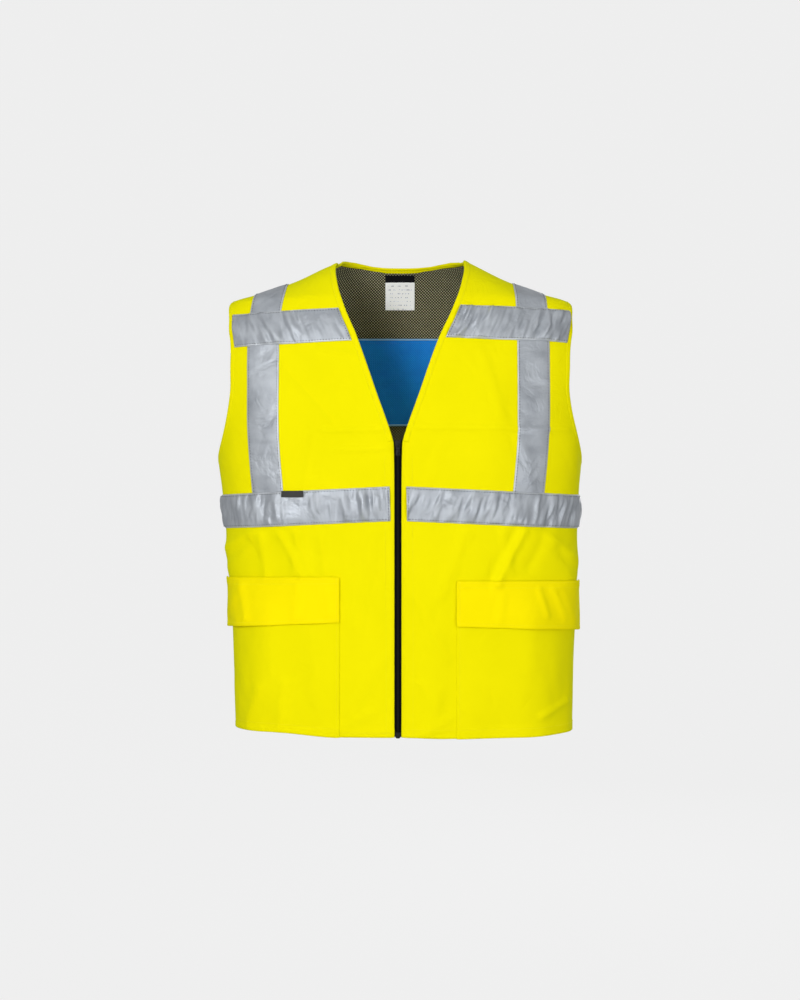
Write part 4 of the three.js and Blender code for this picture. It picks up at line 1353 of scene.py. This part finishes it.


# The emission given to the yellows, the pad, the piping, the label and the yellow thread is painted
# light.
MATERIALS = {
    "yellow": cloth_material(
        "fluorescent yellow cloth", (0.84, 0.755, 0.0), (0.76, 0.70, 0.0), 1500, 0.8,
        painted_glow=0.06, gloss=0.04, crumple=0.5, painted_slant_shade=(0.66, 0.69, 0.0)),
    # The flaps' yellow is a lighter, warmer copy of the panels' yellow: painted light for the second
    # layer over the pockets.
    "flap yellow, painted lighter": cloth_material(
        "fluorescent yellow flap cloth, painted lighter", (0.92, 0.765, 0.0), (0.84, 0.72, 0.0), 1500, 0.8,
        painted_glow=0.07, gloss=0.04, crumple=0.5, painted_slant_shade=(0.72, 0.70, 0.0)),
    # On the tape the second, lighter colour makes patches of painted light and shade for its crinkles.
    "tape": cloth_material(
        "reflective tape", (0.335, 0.36, 0.395), (0.47, 0.50, 0.535), 900, 0.41,
        weave=0.15, amount=0.9, metal=0.44, gap=0.08, turn=0.785, patches=34.0,
        border=(0.58, 0.61, 0.64)),
    "blue": cloth_material(
        "cooling pad cloth", (0.008, 0.25, 0.93), (0.014, 0.32, 0.98), 400, 0.6,
        turn=0.785, weave=0.8, amount=0.9, gap=0.6, sheen=0.05, gloss=0.15, patches=26.0, painted_glow=0.07),
    "piping": cloth_material(
        "cooling piping", (0.24, 0.50, 0.85), (0.30, 0.56, 0.88), 900, 0.55, gap=0.2, painted_glow=0.05),
    "zip cloth": cloth_material(
        "black zip tape", (0.003, 0.003, 0.003), (0.008, 0.008, 0.008), 900, 0.9,
        gap=0.3, weave=0.8, crumple=0.2, gloss=0.05),
    "label": cloth_material(
        "white woven label", (0.96, 0.97, 1.0), (0.90, 0.91, 0.97), 2400, 0.6,
        crumple=0.3, gap=0.04, painted_glow=0.12, marks=(0.16, 0.16, 0.18)),
    "header": cloth_material(
        "black woven label", (0.006, 0.006, 0.009), (0.010, 0.010, 0.012), 2400, 0.8,
        crumple=0.3, gloss=0.1),
    "tag": cloth_material(
        "grey woven tag", (0.055, 0.055, 0.052), (0.04, 0.04, 0.038), 1800, 0.9,
        crumple=0.3, gloss=0.1),
    "yellow thread": cloth_material(
        "yellow thread", (0.85, 0.80, 0.02), (0.7, 0.66, 0.02), 4000, 0.6, crumple=0.1, painted_glow=0.12),
    "grey thread": cloth_material(
        "grey thread", (0.10, 0.11, 0.11), (0.16, 0.17, 0.17), 4000, 0.6, crumple=0.1),
    "blue thread": cloth_material(
        "blue thread", (0.10, 0.32, 0.66), (0.08, 0.28, 0.6), 4000, 0.6, crumple=0.1),
}
print(len(MATERIALS), "cloth materials")

# %% [markdown]
# ** Mesh lining.** A warp-knitted mesh has small round holes in staggered rows, and through them
# the yellow back shows, painted into the holes as a dim olive: painted shade. A Voronoi pattern would
# scatter the holes, so two sine waves at 45 degrees set them in an even diamond order instead.

# %% Mesh lining material
def mesh_material():
    material, tree, shader = start_material("black mesh lining")
    place, uv = places(tree)
    gap = use_group(tree, WEAVE, {"Cloth": uv, "Threads per metre": 308.0, "Turn": 0.785})["Gap"]
    hole = share_of(tree, gap, 0.44, 0.28)
    drift = use_group(tree, DRIFT, {
        "Place": place, "Colour": (0.008, 0.008, 0.006, 1), "Worn and sheen colour": (0.018, 0.018, 0.012, 1),
        "Amount": 0.8, "Roughness": 0.85})
    feed(tree, shader, {
        # Painted shade: the holes take the dim olive of the yellow back in shade behind them.
        "Base Color": mix_colour(tree, hole, drift["Colour"], (0.52, 0.50, 0.30, 1)),
        "Roughness": drift["Roughness"],
        "Normal": bump(tree, math_node(tree, "MULTIPLY", hole, -1.0), 0.0002),
    })
    return material


MATERIALS["mesh"] = mesh_material()

# %% [markdown]
# **Coil and slider.** The teeth are black nylon with a soft shine. The slider is die-cast metal
# with gloss black enamel, which wears to bare metal along its edges, and a bevel's different
# normals show where those edges are.

# %% Hard materials
def hard_material(name, colour, bare, roughness, wear, gloss):
    material, tree, shader = start_material(name)
    place, _ = places(tree)
    drift = use_group(tree, DRIFT, {
        "Place": place, "Colour": (*colour, 1), "Worn and sheen colour": (*(2.2 * v for v in colour), 1),
        "Amount": 0.5, "Roughness": roughness, "Size": 240.0})
    edge = tree.nodes.new("ShaderNodeNewGeometry").outputs["Pointiness"]
    scratch = noise_node(tree, place, 900.0, 3.0)
    mask = math_node(tree, "MULTIPLY", share_of(tree, edge, 0.6, 0.8), scratch)
    mask = math_node(tree, "MULTIPLY", mask, wear)
    feed(tree, shader, {
        "Base Color": mix_colour(tree, mask, drift["Colour"], (*bare, 1)),
        "Roughness": drift["Roughness"],
        "Normal": bump(tree, scratch, 0.00006),
        "Specular IOR Level": gloss,
    })
    return material


MATERIALS["coil"] = hard_material(
    "black nylon coil", (0.008, 0.008, 0.008), (0.02, 0.02, 0.02), 0.5, 0.4, 0.12)
MATERIALS["slider"] = hard_material(
    "black enamelled metal", (0.003, 0.003, 0.003), (0.25, 0.25, 0.26), 0.25, 0.3, 0.22)
print(len(MATERIALS), "materials in all")

# %% Give every piece its material and body, and hide the CAD part of the same name
FINISH = {
    # material and slot, and how the names of their pieces begin
    ("yellow", "hi_vis_fabric"): ("front_panel", "back_panel", "neck_", "armhole_", "pocket"),
    ("flap yellow, painted lighter", "hi_vis_fabric"): ("flap",),
    ("tape", "reflective_tape"): ("brace_tape", "chest_tape", "waist_tape"),
    ("tag", "tag_grey"): ("side_tag",),
    ("mesh", "black_mesh"): ("lining_mesh",),
    ("blue", "cooling_fabric"): ("cooling_pad",),
    ("piping", "cooling_piping"): ("cooling_piping",),
    ("header", "label_black"): ("label_header",),
    ("label", "label_white"): ("label_tab",),
    ("zip cloth", "zip_cloth"): ("zip_tape",),
    ("coil", "zip_coil"): ("zip_coil", "zip_box"),
    ("slider", "zip_slider"): ("zip_slider", "zip_puller"),
    ("grey thread", "reflective_tape"): ("tape_stitching",),
    ("yellow thread", "hi_vis_fabric"): ("yellow_stitching",),
    ("blue thread", "cooling_piping"): ("pad_stitching",),
}
for name, obj in PIECES.items():
    finish, slot = next(key for key, starts in FINISH.items() if name.startswith(starts))
    obj.data.materials.clear()
    obj.data.materials.append(MATERIALS[finish])
    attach(obj, "puller" if name == "zip_puller" else "vest")
    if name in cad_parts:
        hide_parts(name)
print(len(PIECES), "pieces,", sum(len(o.data.polygons) for o in PIECES.values()), "faces")

# %% [markdown]
# ## The cloth
# A sheet of cloth keeps its area when it is worn. The cooling pad is the one padded piece.


print("pieces made")

# %% [markdown]
# ## Studio
# The picture is lit from all sides by soft white light, a little stronger from in front and from
# above, with a low lamp for the hem, before an even pale grey ground. A round backdrop, floor and
# wall in one curve, gives that ground from every side with no line at the horizon. It glows as a
# lit paper sweep does, but it throws less light on the vest than the camera sees on it, so that
# the lights in front still model the cloth's folds and the sides fall off into shade.

# %% Backdrop and lights
def backdrop(radius=4.4, bend=1.6, floor_z=-1.45, top=4.2, around=64):
    """A floor that bends up into a round wall."""
    inner = radius - bend
    profile = [(0.001, floor_z), (inner, floor_z)]
    for turn in np.linspace(0, math.pi / 2, 13)[1:]:
        profile.append((inner + bend * math.sin(turn), floor_z + bend * (1 - math.cos(turn))))
    profile.append((radius, top))
    turns = np.linspace(0, 2 * math.pi, around, endpoint=False)
    points = [(r * math.cos(t), r * math.sin(t), z) for t in turns for r, z in profile]
    count = len(profile)
    faces = []
    for k in range(around):
        for j in range(count - 1):
            a = k * count + j
            b = (k + 1) % around * count + j
            faces.append((a, b, b + 1, a + 1))
    mesh = bpy.data.meshes.new("backdrop")
    mesh.from_pydata(points, [], faces)
    mesh.polygons.foreach_set("use_smooth", [True] * len(mesh.polygons))
    obj = bpy.data.objects.new("backdrop", mesh)
    bpy.context.collection.objects.link(obj)
    material, tree, shader = start_material("pale backdrop")
    seen = tree.nodes.new("ShaderNodeLightPath").outputs["Is Camera Ray"]
    feed(tree, shader, {
        "Base Color": (0.02, 0.02, 0.02, 1),
        "Roughness": 1.0,
        "Specular IOR Level": 0.0,
        "Emission Color": (1, 1, 1, 1),
        "Emission Strength": math_node(tree, "MULTIPLY_ADD", seen, 0.46, 0.385),
    })
    mesh.materials.append(material)


MIDDLE = Vector((0, 0, -0.3))


def soft_light(name, place, size, power):
    """A wide lamp that faces the middle of the vest and isn't seen itself."""
    data = bpy.data.lights.new(name, "AREA")
    data.shape = "RECTANGLE"
    data.size, data.size_y = size
    data.energy = power
    obj = bpy.data.objects.new(name, data)
    obj.location = place
    obj.rotation_euler = (MIDDLE - Vector(place)).to_track_quat("-Z", "Y").to_euler()
    obj.visible_camera = False
    bpy.context.collection.objects.link(obj)


backdrop()
soft_light("key", (-1.3, -3.1, 0.5), (1.0, 1.0), 58)
soft_light("fill", (1.6, -3.0, -1.15), (1.2, 1.4), 53)
soft_light("low", (-0.9, -3.2, -1.3), (1.2, 0.8), 16)
soft_light("top", (0, -0.4, 2.6), (1.8, 1.8), 8)
soft_light("back light", (0.9, 3.2, 0.1), (1.8, 1.8), 62)
world = bpy.data.worlds.new("studio")
world.use_nodes = True
world.node_tree.nodes["Background"].inputs["Color"].default_value = (1, 1, 1, 1)
world.node_tree.nodes["Background"].inputs["Strength"].default_value = 0.5
bpy.context.scene.world = world
bpy.context.scene.view_settings.view_transform = "Standard"
print("studio ready")
